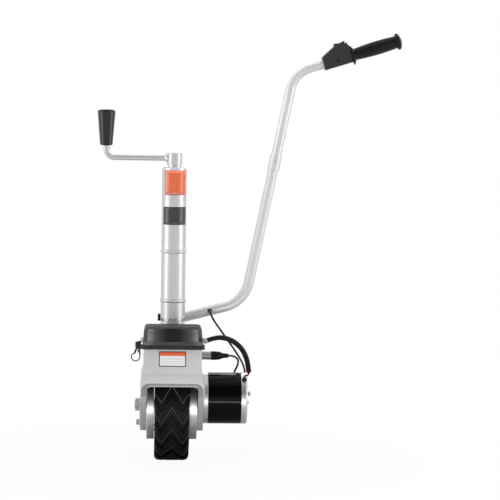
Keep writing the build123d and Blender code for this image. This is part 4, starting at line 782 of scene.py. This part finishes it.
def sticker(name, finish, low, high, middle_turn, half_turn):
    """Patch radius * (sin turn, -cos turn) of a cylinder, with its rim turned down to the tube."""
    turn = radians(middle_turn) + np.radians(np.linspace(-half_turn, half_turn, 49))
    level = np.linspace(low, high, 9) / 1000 + floor_level
    turn = np.concatenate([turn[:1], turn, turn[-1:]])
    level = np.concatenate([level[:1], level, level[-1:]])
    radius = np.full((len(level), len(turn)), tube_radius + film_thickness)
    radius[[0, -1], :] = tube_radius + film_edge
    radius[:, [0, -1]] = tube_radius + film_edge
    points = np.stack([
        radius * np.sin(turn)[None, :], -radius * np.cos(turn)[None, :],
        np.repeat(level[:, None], len(turn), axis=1),
    ], axis=-1)
    return dress(grid_piece(name, points, finish), "jack_body", "label_silver")


def framed_film(name, patch, ground, frame_colour, inset, width, share):
    """Film of one colour with a thin frame: the frame is where the distance to the edge is near the inset."""
    made = Finish(name, ground, 0.3, 0.0, 0.3)
    x, y, z = made.axes()
    turn = x.math("ARCTAN2", 0 - y)
    middle_level = (patch["low"] + patch["high"]) / 2000 + floor_level
    off_x = radians(patch["half_turn"]) * tube_radius - abs(turn - radians(patch["middle_turn"])) * tube_radius
    off_z = (patch["high"] - patch["low"]) / 2000 - abs(z - middle_level)
    edge = off_x.at_most(off_z)
    line = (edge > inset) * (edge < inset + width)
    made.set("Base Color", made.mix(line * share, ground, frame_colour))
    return made.material


upper_patch = dict(low=657.0, high=717.5, middle_turn=9, half_turn=59)
lower_patch = dict(low=584.0, high=628.0, middle_turn=7, half_turn=67)
upper_film = framed_film("orange_film", upper_patch, (0.95, 0.17, 0.055), (0.95, 0.75, 0.62), 0.0035, 0.001, 0.9)
lower_film = framed_film("black_film", lower_patch, (0.02, 0.02, 0.021), (0.2, 0.2, 0.2), 0.003, 0.0006, 0.6)
sticker("upper_sticker", upper_film, **upper_patch)
sticker("lower_sticker", lower_film, **lower_patch)

# %% [markdown]
# The background is a white room. White is only what the camera sees, at a strength of one. The light that falls
# on the object is weaker, and in mirror images the front upper part of the room is dark, as it is behind a
# photographer. That gives the tube its darker middle and the lid and the motor their black fronts.
# %% Room
room_light, darkest_mirror = 0.36, 0.95


class Room(Finish):
    """The world's or the floor's nodes, made with the same formulas as a material's."""

    def __init__(self, tree):
        self.tree = tree
        self.tree.nodes.clear()

    def seen(self):
        """1 for rays that show the background, and 1 for those that come straight from the camera."""
        path = self.tree.nodes.new("ShaderNodeLightPath")
        kinds = ("Is Camera Ray", "Is Glossy Ray", "Is Transmission Ray")
        camera_ray, glossy, through = [Value(self, path.outputs[kind]) for kind in kinds]
        return camera_ray.at_least(glossy.at_least(through)), camera_ray

    def close(self, shader, kind):
        """Sends the last shader to the output node."""
        output = self.tree.nodes.new(kind)
        self.tree.links.new(shader.socket, output.inputs["Surface"])


world = bpy.data.worlds.new("room")
bpy.context.scene.world = world
world.use_nodes = True
room = Room(world.node_tree)
seen, by_camera = room.seen()
look_x, look_y, look_z = room.split(room.node("ShaderNodeTexCoord", output=0))
frontal = (0 - look_y - abs(look_x) * 0.8).at_least(0.0)
upper = (look_z - 0.1).at_least(0.0).at_most(0.2) / 0.2
dark = (frontal * 1.8).at_most(1.0) * upper
mirror_level = 1 - darkest_mirror * dark
level = seen * (by_camera + (1 - by_camera) * mirror_level) + (1 - seen) * room_light
room.close(room.node("ShaderNodeBackground", {"Color": (1, 1, 1, 1), "Strength": level}), "ShaderNodeOutputWorld")
print("room nodes:", len(room.tree.nodes))

# %% [markdown]
# The floor is pale paper. To the lamps it is a matt grey that takes the object's shadow. To the camera it is
# nearly white near the object, where a trace of the shadow stays, and plain white further out, so that no horizon
# shows. It rides with the wheel's unit, so that the wheel stays on it when the jack is wound out.
# %% Floor
floor_size, floor_gap = 14, 0.0003
shadow_reach, shadow_fade, camera_white = 0.3, 0.5, 0.95

bpy.ops.mesh.primitive_plane_add(size=floor_size, location=(0, 0, floor_level - floor_gap))
floor = bpy.context.object
floor.name = "floor"
floor_material = bpy.data.materials.new("floor")
floor_material.use_nodes = True
ground = Room(floor_material.node_tree)
seen, by_camera = ground.seen()
floor_x, floor_y, _ = ground.axes()
away = (floor_x * floor_x + floor_y * floor_y).root()
far = ((away - shadow_reach) / shadow_fade).at_least(0.0).at_most(1.0)
matt = ground.node("ShaderNodeBsdfDiffuse", {"Color": (0.6, 0.6, 0.6, 1)})
white = ground.node("ShaderNodeEmission", {"Color": (1, 1, 1, 1), "Strength": 1.0})
near_share = camera_white * by_camera
share = seen * (near_share + (1 - near_share) * far)
ground.close(ground.node("ShaderNodeMixShader", (share, matt, white)), "ShaderNodeOutputMaterial")
floor.data.materials.append(floor_material)
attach(floor, "unit")
print("floor level", floor_level)


# %% [markdown]
# Five soft boxes light the object, as in a studio for small goods. The large overhead one gives the plain level,
# two tall ones at the sides draw the bright bands on the tube and the drums, a small one behind rims the handle,
# and a narrow strip near the floor draws the thin line on the motor. The overhead box makes no mirror image.
# %% Lamps
def softbox(name, position, size, power, target):
    """Rectangular lamp, with sizes in metres and power in watts, that faces a point."""
    lamp = bpy.data.lights.new(name, "AREA")
    lamp.shape = "RECTANGLE"
    lamp.size, lamp.size_y = size
    lamp.energy = power
    piece = bpy.data.objects.new(name, lamp)
    piece.location = position
    piece.rotation_euler = (Vector(target) - Vector(position)).to_track_quat("-Z", "Y").to_euler()
    bpy.context.collection.objects.link(piece)
    piece.visible_camera = False
    return piece


middle = (0.15, 0.0, -0.1)
motor_middle = (0.1, 0.0, floor_level + 0.14)
overhead = softbox("overhead", (0.1, -0.3, 1.7), (1.8, 1.2), 27, middle)
overhead.visible_glossy = False
softbox("left", (-2.8, -0.95, 0.1), (1.5, 1.8), 25, middle)
softbox("right", (3.1, -0.95, 0.1), (1.5, 1.8), 25, middle)
softbox("back", (0.15, 1.7, 0.9), (1.6, 0.4), 6, middle)
softbox("low strip", (0.1, -0.7, floor_level + 0.014), (0.42, 0.02), 0.85, motor_middle)
print("lamps:", len(bpy.data.lights))
